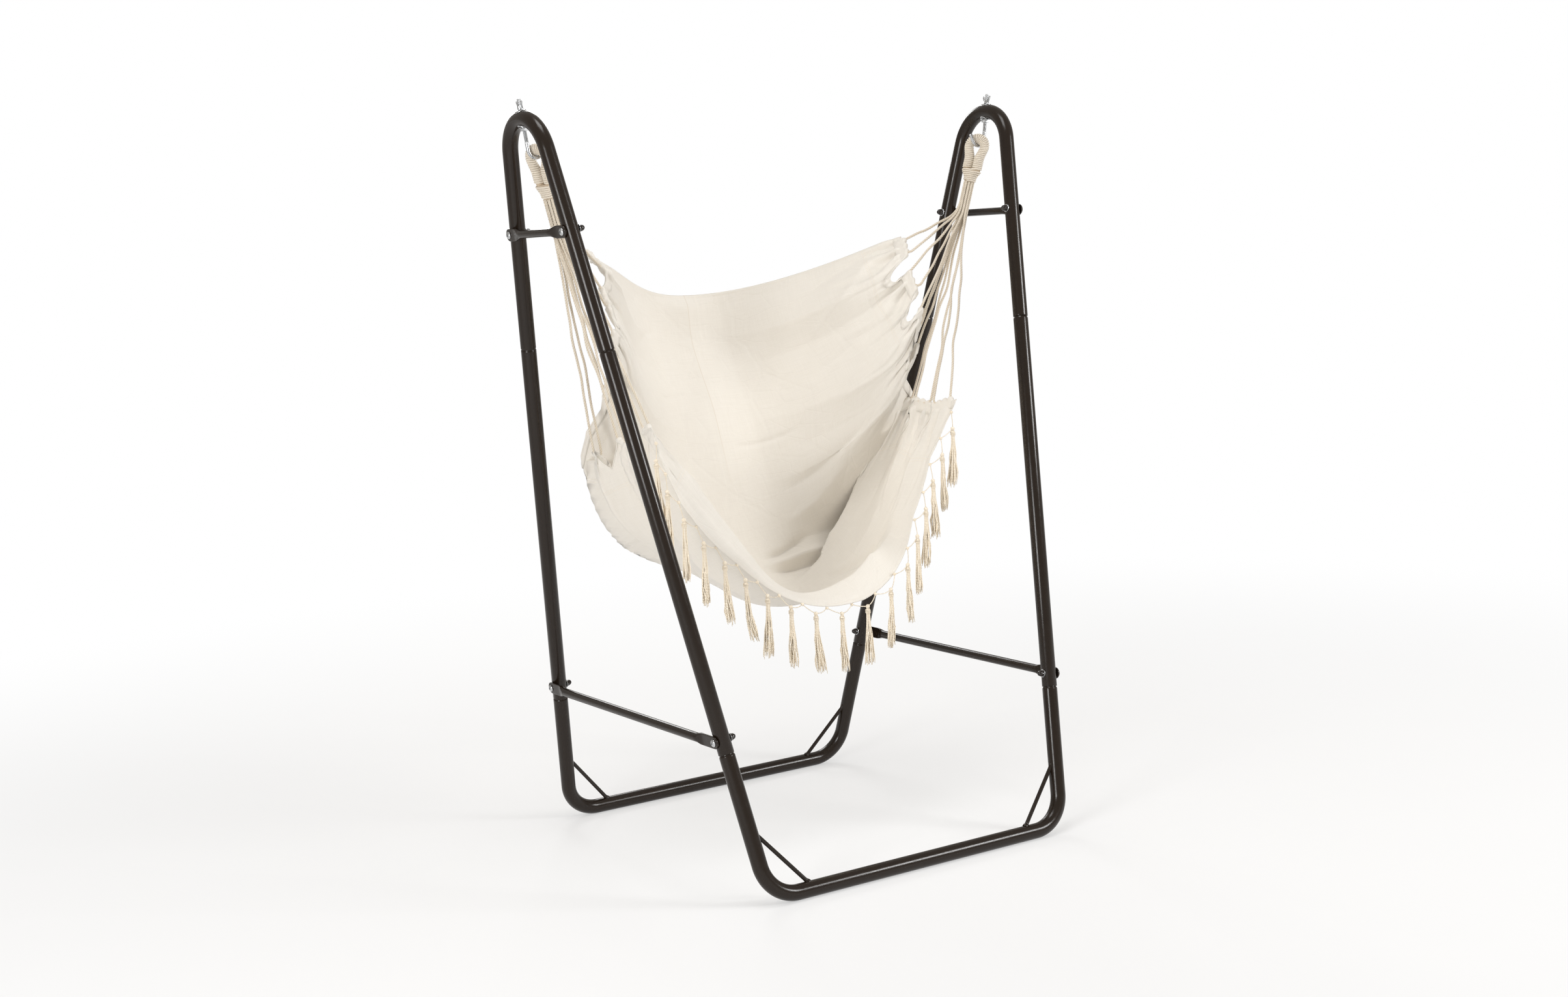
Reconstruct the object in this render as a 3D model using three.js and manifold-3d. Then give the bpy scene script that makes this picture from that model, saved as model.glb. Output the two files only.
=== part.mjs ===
// Hammock chair: a cotton bag seat hung on ropes between the tops of a steel tube stand.
// Millimetres, +Z up. The open front of the seat faces -Y and +X is the right side seen from there.
// The origin is on the floor under the middle of the stand.
import * as THREE from 'three';
import { mergeVertices } from 'three/addons/utils/BufferGeometryUtils.js';
import Module from 'manifold-3d';

const wasm = await Module();
wasm.setup();
const { Vector2, Vector3 } = THREE;

// Clearances shared by pieces that touch
const fitGap = 0.3;
const cutOverrun = 2;

// Stand tubes
const tubeDiameter = 38;
const tubeWall = 1.5;
const baseWidth = 872;
const baseDepth = 993;
const crownHeight = 1826;
const crownSpacing = 1371;
const archBend = 98;
const baseBend = 90;
const upperJointHeight = 1285;
const lowerJointHeight = 355;
const shoulderLength = 8;
const spigotLength = 52;
const spigotClearance = 0.7;
const tubeSides = 12;
const archSteps = 9;
const baseBendSteps = 5;

// Corner braces
const braceDiameter = 10;
const braceLegHeight = 185;
const braceBaseReach = 124;

// Upper links and lower spreaders, tubes pressed flat at their ends
const linkBoltHeight = 1564;
const spreaderBoltHeight = 387;
const flatThickness = 5;
const flatHeight = 30;
const flatEndMargin = 15;
const linkWaist = 19;
const linkFlatReach = 22;
const linkTaper = 45;
const spreaderDiameter = 22;
const spreaderFlatReach = 45;
const spreaderTaper = 34;
const roundedEndShares = [[0, 0.55], [0.35, 0.86]];

// Bolts and cap nuts
const boltDiameter = 8;
const holeClearance = 0.6;
const headDiameter = 18;
const headHeight = 5;
const socketWidth = 6;
const socketDepth = 2.8;
const capDiameter = 17;
const capLength = 16;
const capWall = 4;
const washerDiameter = 20;
const washerThickness = 1.6;
const boltSides = 8;
const headDomeShares = [[1, 0.3], [0.72, 0.86]];
const capDomeShares = [[1, 0.55], [0.7, 0.9]];

// Hooks and what clamps them in the crowns
const hookRod = 9;
const hookShank = 74;
const hookBend = 19;
const hookOpening = THREE.MathUtils.degToRad(150);
const hookTip = 22;
const stubLength = 27;
const saddleDiameter = 28;
const saddleThickness = 2;
const lockNutWidth = 17;
const lockNutHeight = 7;
const wingNutDiameter = 14;
const wingNutHeight = 9;
const wingSpan = 30;
const wingRise = 11;
const wingThickness = 3.2;

// Rope eyes
const windingCord = 5.6;
const windingGap = 0.35;
const limbDiameter = 28;
const limbSqueeze = 20;
const eyeDrop = 65;
const neckLength = 32;
const neckCore = 12.6;
const limbPitch = 9;
const archPitch = 17;
const eyeTwist = THREE.MathUtils.degToRad(24);
const eyeLeanIn = 0.271;
const eyeLeanBack = 0.082;
const windingSides = 5;
const windingSteps = 8;
const coreSides = 9;
const coreSteps = 17;

// Seat ropes, two legs to each tab
const ropeDiameter = 6.5;
const bundleLength = 86;
const innerRing = 5;
const outerRing = 11.9;
const ropeSides = 7;
const mouthChord = 1.15 * ropeDiameter; // cuts the corner at a sleeve's mouth

// Seat cloth, one cotton sheet
const clothWidth = 1400;
const clothDepth = 1200;
const clothThickness = 3;
const tabCount = 7;
const notchDepth = 56;
const clothColumns = 16;
const rowsPerTab = 4;
const backEdgeHeight = 1377;
const middlePull = 230;
const sidePull = 250;
const sidePullFront = 380;
const foldDepth = 62;
const foldSpread = 36;

// Fringe along the front hem
const tasselCount = 18;
const netCord = 2.6;
const netArm = 42;
const tasselLength = 145;
const tasselHead = 10;
const tasselEnd = 21;

// Values that follow from the sizes above
const tubeRadius = tubeDiameter / 2;
const boreRadius = tubeRadius - tubeWall;
const spigotShare = (boreRadius - spigotClearance) / tubeRadius;
const boltRadius = boltDiameter / 2;
const boltHole = boltRadius + holeClearance;
const hookHole = hookRod / 2 + holeClearance;
const windingRadius = limbDiameter / 2 - windingCord / 2;
const windingChord = Math.cos(Math.PI / windingSteps);
const underWinding = windingRadius * windingChord - windingCord / 2 - windingGap;
const limbCore = underWinding * Math.cos(Math.PI / coreSides) - windingGap;
const sides = { left: -1, right: 1 };
const ends = { front: -1, back: 1 };

// Finishes
const finish = (color, roughness, metalness) =>
  new THREE.MeshStandardMaterial({ color, roughness, metalness, side: THREE.DoubleSide });
const powderCoat = finish(0x3b322b, 0.42, 0.3);
const zinc = finish(0xc6cacd, 0.28, 1);
const blackCap = finish(0x2f2824, 0.35, 0.2);
const canvas = finish(0xf0eadd, 0.95, 0);
const cotton = finish(0xe6dac4, 0.95, 0);

// A centre line given station by station. Each station may widen or flatten the section it carries.
class Route extends THREE.Curve {
  constructor(stations, normal) {
    super();
    this.stations = stations;
    this.normal = normal;
  }

  getPoint(t, target = new Vector3()) {
    const place = t * (this.stations.length - 1);
    const index = Math.min(Math.floor(place), this.stations.length - 2);
    const from = this.stations[index].point;
    return target.lerpVectors(from, this.stations[index + 1].point, place - index);
  }

  getSpacedPoints() {
    return this.stations.map((station) => station.point);
  }

  computeFrenetFrames() {
    const frames = { tangents: [], normals: [], binormals: [] };
    let normal = this.normal;
    for (const { tangent, wide, tall } of this.stations) {
      normal = normal.clone().addScaledVector(tangent, -normal.dot(tangent)).normalize();
      frames.tangents.push(tangent);
      frames.normals.push(normal.clone().multiplyScalar(wide));
      frames.binormals.push(tangent.clone().cross(normal).multiplyScalar(tall));
    }
    return frames;
  }
}

function station(point, tangent, wide = 1, tall = wide) {
  return { point, tangent, wide, tall };
}

function direction(from, to) {
  return to.clone().sub(from).normalize();
}

// A polyline with every inner corner rounded to one bend radius
function bentStations(corners, bend, steps) {
  const last = corners.length - 1;
  const stations = [station(corners[0], direction(corners[0], corners[1]))];
  for (let i = 1; i < last; i++) {
    const back = direction(corners[i], corners[i - 1]);
    const on = direction(corners[i], corners[i + 1]);
    const half = back.angleTo(on) / 2;
    const middle = back.clone().add(on).normalize();
    const centre = corners[i].clone().addScaledVector(middle, bend / Math.sin(half));
    const start = corners[i].clone().addScaledVector(back, bend / Math.tan(half)).sub(centre);
    const axis = on.clone().cross(back).normalize();
    for (let k = 0; k <= steps; k++) {
      const radial = start.clone().applyAxisAngle(axis, ((Math.PI - 2 * half) * k) / steps);
      stations.push(station(centre.clone().add(radial), axis.clone().cross(radial).normalize()));
    }
  }
  stations.push(station(corners[last], direction(corners[last - 1], corners[last])));
  return stations;
}

// Stations through free points, with each tangent along the chord between the neighbours
function freeStations(points) {
  return points.map((point, i) => {
    const before = points[Math.max(i - 1, 0)];
    const after = points[Math.min(i + 1, points.length - 1)];
    return station(point, direction(before, point).add(direction(point, after)).normalize());
  });
}

// A regular section whose flats lie at the given radius
function ringPoints(radius, count, turn) {
  const corner = radius / Math.cos(Math.PI / count);
  return Array.from({ length: count }, (_, i) => {
    const angle = turn + ((i + 0.5) * 2 * Math.PI) / count;
    return new Vector2(corner * Math.cos(angle), corner * Math.sin(angle));
  });
}

function section(radius, count, turn = 0) {
  return new THREE.Shape(ringPoints(radius, count, turn));
}

// A cord's section has its corners at the true radius
function cordSection(diameter, count) {
  return section((diameter / 2) * Math.cos(Math.PI / count), count);
}

function tubeSection(turn = 0) {
  const shape = section(tubeRadius, tubeSides, turn);
  shape.holes.push(new THREE.Path(ringPoints(boreRadius, tubeSides, turn)));
  return shape;
}

function sweep(shape, stations, normal) {
  const extrudePath = new Route(stations, normal);
  return new THREE.ExtrudeGeometry(shape, { steps: stations.length - 1, extrudePath });
}

// A profile of [radius, distance] pairs turned about a line from origin along axis
function turned(profile, count, origin, axis) {
  const points = profile.map(([radius, distance]) => new Vector2(radius, distance));
  const geometry = new THREE.LatheGeometry(points, count);
  const turn = new THREE.Quaternion().setFromUnitVectors(new Vector3(0, 1, 0), axis);
  return geometry.applyQuaternion(turn).translate(origin.x, origin.y, origin.z);
}

function rod(radius, count, from, to) {
  const length = from.distanceTo(to);
  return turned([[0, 0], [radius, 0], [radius, length], [0, length]], count, from, direction(from, to));
}

// A closed mesh as a solid, with its faces turned outwards
function solid(geometry) {
  const bare = geometry.clone();
  bare.deleteAttribute('normal');
  bare.deleteAttribute('uv');
  const merged = mergeVertices(bare);
  const vertProperties = new Float32Array(merged.attributes.position.array);
  const corner = (index) => new Vector3().fromArray(vertProperties, index * 3);
  const faces = [];
  let volume = 0;
  for (let i = 0; i < merged.index.count; i += 3) {
    const [a, b, c] = merged.index.array.slice(i, i + 3);
    if (a === b || b === c || c === a) continue;
    faces.push([a, b, c]);
    volume += corner(a).dot(corner(b).cross(corner(c)));
  }
  const turnedOut = volume < 0 ? faces.map(([a, b, c]) => [a, c, b]) : faces;
  const triVerts = new Uint32Array(turnedOut.flat());
  return new wasm.Manifold(new wasm.Mesh({ numProp: 3, vertProperties, triVerts }));
}

const model = new THREE.Group();

function add(name, shape, material) {
  const mesh = shape.getMesh();
  const geometry = new THREE.BufferGeometry();
  geometry.setAttribute('position', new THREE.BufferAttribute(mesh.vertProperties, 3));
  geometry.setIndex(new THREE.BufferAttribute(mesh.triVerts, 1));
  const faceted = geometry.toNonIndexed();
  faceted.computeVertexNormals();
  const piece = new THREE.Mesh(faceted, material);
  piece.name = name;
  model.add(piece);
}

// Each side frame lies in one plane that leans outwards; the hairpin's legs would meet at its apex
const crownOut = (crownSpacing - baseWidth) / 2;
const crownReach = Math.hypot(crownOut, crownHeight - tubeRadius);
const leanX = crownOut / crownReach;
const leanZ = (crownHeight - tubeRadius) / crownReach;
const hairpinSpan = Math.hypot(baseDepth / 2, crownReach - archBend);
const halfAngle = Math.acos(archBend / hairpinSpan) - Math.atan2(crownReach - archBend, baseDepth / 2);
const apexReach = baseDepth / 2 / Math.tan(halfAngle);

function inFrame(side, y, reach, out = 0) {
  const x = baseWidth / 2 + reach * leanX + out * leanZ;
  return new Vector3(side * x, y, tubeRadius + reach * leanZ - out * leanX);
}

const outward = (side) => new Vector3(side * leanZ, 0, -leanX);
const upward = (side) => new Vector3(side * leanX, 0, leanZ);

function legPoint(side, end, height) {
  const reach = (height - tubeRadius) / leanZ;
  return inFrame(side, end * (baseDepth / 2) * (1 - reach / apexReach), reach);
}

function legRise(side, end) {
  return direction(inFrame(side, (end * baseDepth) / 2, 0), inFrame(side, 0, apexReach));
}

// A hole through the frame plane for a bolt at the given height of a leg
function boltBore(side, end, height) {
  const centre = legPoint(side, end, height);
  const reach = tubeDiameter + cutOverrun;
  const inner = centre.clone().addScaledVector(outward(side), -reach);
  return solid(rod(boltHole, boltSides, inner, centre.clone().addScaledVector(outward(side), reach)));
}

// Top hairpins
function archStations(side) {
  const front = legPoint(side, ends.front, upperJointHeight);
  const back = legPoint(side, ends.back, upperJointHeight);
  return bentStations([front, inFrame(side, 0, apexReach), back], archBend, archSteps);
}

function crownBore(side) {
  const low = inFrame(side, 0, crownReach - tubeDiameter);
  return solid(rod(hookHole, boltSides, low, inFrame(side, 0, crownReach + tubeDiameter)));
}

function archTube(side) {
  let tube = solid(sweep(tubeSection(), archStations(side), outward(side)));
  tube = tube.subtract(crownBore(side));
  for (const end of Object.values(ends)) tube = tube.subtract(boltBore(side, end, linkBoltHeight));
  return tube;
}

// The upper end of a lower tube is drawn in over a shoulder and slides into the tube above
function swagedStations(side, end, height) {
  const rise = legRise(side, end);
  const joint = legPoint(side, end, height);
  const shoulder = joint.clone().addScaledVector(rise, -shoulderLength);
  const tip = joint.clone().addScaledVector(rise, spigotLength);
  return [station(shoulder, rise), station(joint, rise, spigotShare), station(tip, rise, spigotShare)];
}

function legTube(side, end) {
  const foot = station(legPoint(side, end, lowerJointHeight), legRise(side, end));
  const stations = [foot, ...swagedStations(side, end, upperJointHeight)];
  const tube = solid(sweep(tubeSection(), stations, outward(side)));
  return tube.subtract(boltBore(side, end, spreaderBoltHeight));
}

// Base tubes: one U under the front legs and one under the back legs
function baseRoute(end) {
  const left = swagedStations(sides.left, end, lowerJointHeight);
  const right = swagedStations(sides.right, end, lowerJointHeight);
  const corners = [
    left[0].point,
    inFrame(sides.left, (end * baseDepth) / 2, 0),
    inFrame(sides.right, (end * baseDepth) / 2, 0),
    right[0].point,
  ];
  const down = left.map(({ point, tangent, wide }) => station(point, tangent.clone().negate(), wide));
  const bends = bentStations(corners, baseBend, baseBendSteps);
  return [down[2], down[1], ...bends, right[1], right[2]];
}

function baseNormal(end) {
  return new Vector3(1, 0, 0).cross(legRise(sides.right, end)).normalize();
}

// The base rests on one flat of its section, so the section is turned until a flat faces the floor
function baseTurn(end) {
  const normal = baseNormal(end);
  const across = new Vector3(1, 0, 0).cross(normal);
  return Math.atan2(-across.z, -normal.z);
}

function baseTube(end) {
  let tube = solid(sweep(tubeSection(baseTurn(end)), baseRoute(end), baseNormal(end)));
  for (const side of Object.values(sides)) tube = tube.subtract(boltBore(side, end, spreaderBoltHeight));
  return tube;
}

function cornerBrace(side, end) {
  const high = legPoint(side, end, braceLegHeight);
  const low = new Vector3(side * (baseWidth / 2 - braceBaseReach), (end * baseDepth) / 2, tubeRadius);
  const clear = section(tubeRadius + fitGap, tubeSides, baseTurn(end));
  const cut = solid(sweep(clear, baseRoute(end).slice(2, -2), baseNormal(end)));
  return solid(rod(braceDiameter / 2, 8, high, low)).subtract(cut);
}

// Cross pieces, each a tube pressed flat where it is bolted outside the legs
function crossPiece(side, height, middle, flatReach, taper) {
  const reach = (height - tubeRadius) / leanZ;
  const boltY = (baseDepth / 2) * (1 - reach / apexReach);
  const endY = boltY + flatEndMargin;
  const out = tubeRadius + fitGap + flatThickness / 2;
  const profile = [
    ...roundedEndShares.map(([step, tall]) => [endY - step * flatEndMargin, flatThickness, tall * flatHeight]),
    [boltY, flatThickness, flatHeight],
    [boltY - flatReach, flatThickness, flatHeight],
    [boltY - flatReach - taper / 2, (flatThickness + middle) / 2, (flatHeight + middle) / 2],
    [boltY - flatReach - taper, middle, middle],
  ];
  const mirrored = profile.map(([y, thick, tall]) => [-y, thick, tall]).reverse();
  const along = new Vector3(0, -1, 0);
  const stations = [...profile, ...mirrored].map(([y, thick, tall]) =>
    station(inFrame(side, y, reach, out), along, thick / 2, tall / 2));
  let bar = solid(sweep(section(1, 10), stations, outward(side)));
  for (const end of Object.values(ends)) bar = bar.subtract(boltBore(side, end, height));
  return bar;
}

// Button head bolts outside, domed cap nuts with their washers inside
const nutSeat = tubeRadius + fitGap;
const shankEnd = nutSeat + capLength - capWall - holeClearance;

function bolt(side, end, height) {
  const seat = tubeRadius + flatThickness + 2 * fitGap;
  const rim = headDiameter / 2;
  const dome = headDomeShares.map(([wide, rise]) => [wide * rim, seat + rise * headHeight]);
  const profile = [[0, -shankEnd], [boltRadius, -shankEnd], [boltRadius, seat], [rim, seat], ...dome];
  profile.push([0, seat + headHeight]);
  const centre = legPoint(side, end, height);
  const body = solid(turned(profile, boltSides, centre, outward(side)));
  const floor = centre.clone().addScaledVector(outward(side), seat + headHeight - socketDepth);
  const top = floor.clone().addScaledVector(outward(side), socketDepth + cutOverrun);
  return body.subtract(solid(rod(socketWidth / 2, 6, floor, top)));
}

function capNut(side, end, height) {
  const washer = washerDiameter / 2;
  const cap = capDiameter / 2;
  const face = nutSeat + washerThickness;
  const profile = [[boltHole, nutSeat], [washer, nutSeat], [washer, face], [cap, face]];
  for (const [wide, rise] of capDomeShares) profile.push([wide * cap, nutSeat + rise * capLength]);
  const blind = nutSeat + capLength - capWall;
  profile.push([0, nutSeat + capLength], [0, blind], [boltHole, blind], [boltHole, nutSeat]);
  const inward = outward(side).negate();
  return solid(turned(profile, boltSides, legPoint(side, end, height), inward));
}

// Hooks: a threaded shank through the crown, a round bight and a tip turned to the inside
function hookStations(side) {
  const setback = hookBend / Math.tan((Math.PI - hookOpening) / 2);
  const top = inFrame(side, 0, crownReach + tubeRadius + stubLength);
  const corner = inFrame(side, 0, crownReach - hookShank - setback);
  const rise = setback + hookTip;
  const tipUp = rise * Math.cos(Math.PI - hookOpening);
  const tipIn = rise * Math.sin(Math.PI - hookOpening);
  const tip = inFrame(side, 0, crownReach - hookShank - setback + tipUp, -tipIn);
  return bentStations([top, corner, tip], hookBend, 9);
}

function hook(side) {
  return solid(sweep(section(hookRod / 2, 10), hookStations(side), new Vector3(0, 1, 0)));
}

// A plate bent to the crown's own curve, above the tube (up = 1) or below it (up = -1)
function saddle(side, up) {
  const bend = archStations(side).slice(1, -1);
  const skin = (radius) => solid(sweep(section(radius, tubeSides), bend, outward(side)));
  const near = tubeRadius + fitGap;
  const shell = skin(near + saddleThickness).subtract(skin(near));
  const from = inFrame(side, 0, crownReach);
  const to = inFrame(side, 0, crownReach + up * (tubeDiameter + cutOverrun));
  const disc = solid(rod(saddleDiameter / 2, 10, from, to));
  return shell.intersect(disc).subtract(crownBore(side));
}

function lockNut(side) {
  const seat = crownReach - tubeRadius - fitGap - saddleThickness;
  const top = inFrame(side, 0, seat);
  const low = inFrame(side, 0, seat - lockNutHeight);
  const nut = solid(rod(lockNutWidth / 2, 6, top, low));
  return saddle(side, -1).add(nut).subtract(crownBore(side));
}

function wingNut(side) {
  const seat = crownReach + tubeRadius + saddleThickness + 2 * fitGap;
  const top = inFrame(side, 0, seat + wingNutHeight);
  const body = solid(rod(wingNutDiameter / 2, 10, inFrame(side, 0, seat), top));
  const outline = new THREE.Shape();
  const span = wingSpan / 2;
  const crest = wingNutHeight + wingRise;
  outline.moveTo(-span * 0.3, 0);
  outline.lineTo(span * 0.3, 0);
  outline.lineTo(span * 0.8, wingNutHeight);
  outline.lineTo(span, crest * 0.8);
  outline.lineTo(span * 0.86, crest);
  outline.lineTo(span * 0.62, crest * 0.9);
  outline.lineTo(span * 0.4, wingNutHeight);
  outline.lineTo(-span * 0.4, wingNutHeight);
  outline.lineTo(-span * 0.62, crest * 0.9);
  outline.lineTo(-span * 0.86, crest);
  outline.lineTo(-span, crest * 0.8);
  outline.lineTo(-span * 0.8, wingNutHeight);
  const plate = new THREE.ExtrudeGeometry(outline, { depth: wingThickness, bevelEnabled: false });
  plate.translate(0, 0, -wingThickness / 2);
  const across = new Vector3(0, 1, 0);
  const turn = new THREE.Matrix4().makeBasis(across, upward(side), across.clone().cross(upward(side)));
  plate.applyMatrix4(turn.setPosition(inFrame(side, 0, seat + fitGap)));
  return body.add(solid(plate)).subtract(crownBore(side));
}

// The hook's bight carries the eye; everything of the seat swings about the line through both bights
const eyeAxis = (side) => new Vector3(-side * eyeLeanIn, eyeLeanBack, -1).normalize();

function bight(side) {
  const pull = new Vector3(-side * eyeLeanIn, 0, -1).normalize();
  return inFrame(side, 0, crownReach - hookShank, -hookBend).addScaledVector(pull, hookBend);
}

// The eye's round is wider than the slanting rod in it, so its centre lies below the rod's own
const slantRod = hookRod / 2 / Math.cos(eyeTwist);
const eyeArc = slantRod + 6 * fitGap + limbDiameter / 2;
const eyeFlare = 2.4;
const limbSpread = limbDiameter / 2 + fitGap;
const eyeSag = eyeArc - (limbDiameter + hookRod) / 2 - fitGap;
const eyeCentre = (side, along = 0) => bight(side).addScaledVector(eyeAxis(side), eyeSag + along);

// The eye's own axes: along it, across it from limb to limb, and through its slit, mirrored left to right
function eyeFrame(side) {
  const along = eyeAxis(side);
  const across = new Vector3(side * Math.sin(eyeTwist), -Math.cos(eyeTwist), 0);
  across.addScaledVector(along, -across.dot(along)).normalize();
  return { along, across, through: along.clone().cross(across).multiplyScalar(side) };
}

// Centre line of the rope loop: up one limb, over the hook and down the other
function eyePoint(side, share) {
  const { along, across } = eyeFrame(side);
  const arc = Math.PI * eyeArc;
  const total = arc + 2 * eyeDrop;
  const travelled = share * total;
  const onArc = (travelled - eyeDrop) / eyeArc;
  const past = Math.max(eyeDrop - travelled, travelled - eyeDrop - arc, 0);
  const angle = THREE.MathUtils.clamp(onArc, 0, Math.PI);
  const flared = eyeArc + eyeFlare;
  const wide = flared + (limbSpread - flared) * THREE.MathUtils.smoothstep(past, 0, eyeDrop * 0.7);
  const offset = -Math.cos(angle) * wide;
  const point = eyeCentre(side, past - Math.sin(angle) * eyeArc).addScaledVector(across, offset);
  const out = across.clone().multiplyScalar(-Math.cos(angle)).addScaledVector(along, -Math.sin(angle));
  const eased = THREE.MathUtils.smoothstep(past, 0, eyeDrop / 2);
  return { point, out, flattened: (limbDiameter - limbSqueeze) * 0.5 * (1 - eased) };
}

const neckShares = [0, 0.35, 0.7, 1];

// Sections of the neck below the slit: an oval that closes to a round bundle
function neckSize(share) {
  const wide = THREE.MathUtils.lerp(limbSpread + limbCore, neckCore, THREE.MathUtils.smoothstep(share, 0, 0.7));
  return { wide, deep: THREE.MathUtils.lerp(1.5 * limbCore, neckCore, share) };
}

function eyeCore(side) {
  const { along, across, through } = eyeFrame(side);
  const places = Array.from({ length: coreSteps + 1 }, (_, i) => eyePoint(side, i / coreSteps));
  const loop = freeStations(places.map(({ point }) => point));
  places.forEach(({ flattened }, i) => Object.assign(loop[i], { wide: limbCore - flattened, tall: limbCore }));
  loop[0].tangent = along.clone().negate();
  loop[coreSteps].tangent = along;
  const ring = solid(sweep(section(1, coreSides), loop, through));
  const lap = windingCord / 4;
  const neck = neckShares.map((share) => {
    const { wide, deep } = neckSize(share);
    return station(eyeCentre(side, eyeDrop - lap + share * (neckLength + lap)), along, wide, deep);
  });
  return ring.add(solid(sweep(section(1, coreSides), neck, across)));
}

// One cord wound up the first limb, over the hook, down the second limb and round the neck
function windingPoints(side) {
  const { across, through } = eyeFrame(side);
  const arc = Math.PI * eyeArc;
  const total = arc + 2 * eyeDrop;
  const points = [];
  const start = 1.7 * windingCord;
  const limbEnd = total - windingCord;
  const loopLength = (travelled) => {
    const edge = Math.min(travelled - eyeDrop, eyeDrop + arc - travelled);
    return THREE.MathUtils.lerp(limbPitch, archPitch, THREE.MathUtils.smoothstep(edge, -limbPitch, 0));
  };
  let phase = 0;
  let travelled = start;
  const path = [];
  while (travelled < limbEnd) {
    path.push([travelled, phase]);
    phase += 1 / windingSteps;
    travelled += loopLength(travelled) / windingSteps;
  }
  const endPhase = path[path.length - 1][1];
  const slip = Math.ceil(endPhase) - endPhase;
  for (const [place, loop] of path) {
    const { point, out, flattened } = eyePoint(side, place / total);
    const angle = 2 * Math.PI * (loop + slip);
    point.addScaledVector(out, windingRadius * Math.cos(angle));
    points.push(point.addScaledVector(through, (windingRadius - flattened) * Math.sin(angle)));
  }
  const neckLoops = Math.floor((neckLength - windingCord) / limbPitch);
  const around = (core) => (core / Math.cos(Math.PI / coreSides) + windingGap + windingCord / 2) / windingChord;
  for (let i = 1; i <= neckLoops * windingSteps; i++) {
    const turns = i / windingSteps;
    const drop = turns * limbPitch;
    const { wide, deep } = neckSize(Math.max(drop - windingCord, 0) / neckLength);
    const point = eyeCentre(side, eyeDrop + drop - windingCord);
    point.addScaledVector(across, around(wide) * Math.cos(2 * Math.PI * turns));
    points.push(point.addScaledVector(through, around(deep) * Math.sin(2 * Math.PI * turns)));
  }
  return points;
}

function leastSelfGap(points, diameter, steps) {
  let least = Infinity;
  for (let i = 0; i < points.length; i++) {
    for (let j = i + Math.ceil(steps / 2); j < points.length; j++) {
      least = Math.min(least, points[i].distanceTo(points[j]) - diameter);
    }
  }
  return least;
}

function eyeWinding(side) {
  const points = windingPoints(side);
  const gap = leastSelfGap(points, windingCord, windingSteps);
  const loops = points.length / windingSteps;
  console.log(`winding of ${loops.toFixed(1)} loops, least gap to itself ${gap.toFixed(2)} mm`);
  return solid(sweep(cordSection(windingCord, windingSides), freeStations(points), eyeAxis(side)));
}

// Tabs of the cloth from the back corner to the front corner: where the rope turns through each sleeve
const tabTips = {
  left: [[462, 105, 1488], [460, 70, 1392], [458, 58, 1288], [456, 100, 1184],
    [466, 148, 1004], [452, 45, 1044], [445, -72, 1082]],
  right: [[460, 86, 1476], [457, 52, 1385], [454, 26, 1288], [452, 62, 1196],
    [458, 128, 1060], [450, 24, 1066], [442, -70, 1070]],
};
// Half of each sleeve's run, from its first mouth to the middle
const tabRuns = [
  [-10, -20, -20], [0, -15, -26], [0, 9, -29], [-4, 22, -24],
  [22, -19, 12], [4, -29, -5], [8, -28, 8],
];
// Bundle places of the two legs of each tab's rope: [ring, degrees from inward towards the back]
const bundlePlaces = [
  [[outerRing, 54], [outerRing, 18]],
  [[outerRing, -18], [innerRing, 0]],
  [[outerRing, -54], [innerRing, -90]],
  [[innerRing, 180], [innerRing, 90]],
  [[outerRing, 90], [outerRing, 126]],
  [[outerRing, 162], [outerRing, 198]],
  [[outerRing, 234], [outerRing, 270]],
];

const tabRun = (side, i) => new Vector3(side * tabRuns[i][0], tabRuns[i][1], tabRuns[i][2]);

const tabTip = (side, i) => {
  const [x, y, z] = (side < 0 ? tabTips.left : tabTips.right)[i];
  return new Vector3(side * x, y, z);
};

const neckEnd = (side) => eyeCentre(side, eyeDrop + neckLength);

function bundlePoint(side, [ring, degrees], drop) {
  const along = eyeAxis(side);
  const inward = new Vector3(-side, 0, 0).addScaledVector(along, side * along.x).normalize();
  const back = new Vector3(0, 1, 0);
  back.addScaledVector(along, -back.dot(along)).addScaledVector(inward, -back.dot(inward)).normalize();
  const angle = THREE.MathUtils.degToRad(degrees);
  const point = neckEnd(side).addScaledVector(along, drop);
  point.addScaledVector(inward, ring * Math.cos(angle));
  return point.addScaledVector(back, ring * Math.sin(angle));
}

function ropePoints(side, i) {
  const tip = tabTip(side, i);
  const run = tabRun(side, i);
  const leg = (place, mouth) => {
    const top = bundlePoint(side, place, fitGap);
    const above = bundlePoint(side, place, bundleLength * 0.8);
    const knee = bundlePoint(side, place, bundleLength);
    const reach = mouth.distanceTo(knee);
    const below = knee.clone().lerp(mouth, bundleLength / 4 / reach);
    const up = direction(mouth, knee);
    const inward = direction(mouth, tip);
    const lead = mouthChord / 2 / Math.sin(up.angleTo(inward) / 2);
    const before = mouth.clone().addScaledVector(up, lead);
    const inside = mouth.clone().addScaledVector(inward, lead);
    return [top, above, below, before, inside];
  };
  const enter = leg(bundlePlaces[i][0], tip.clone().sub(run));
  const leave = leg(bundlePlaces[i][1], tip.clone().add(run));
  return [...enter, tip, ...leave.reverse()];
}

function rope(side, i) {
  const stations = freeStations(ropePoints(side, i));
  const along = eyeAxis(side);
  stations[0].tangent = along;
  stations[stations.length - 1].tangent = along.clone().negate();
  return solid(sweep(cordSection(ropeDiameter, ropeSides), stations, new Vector3(0, 1, 0)));
}

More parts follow.
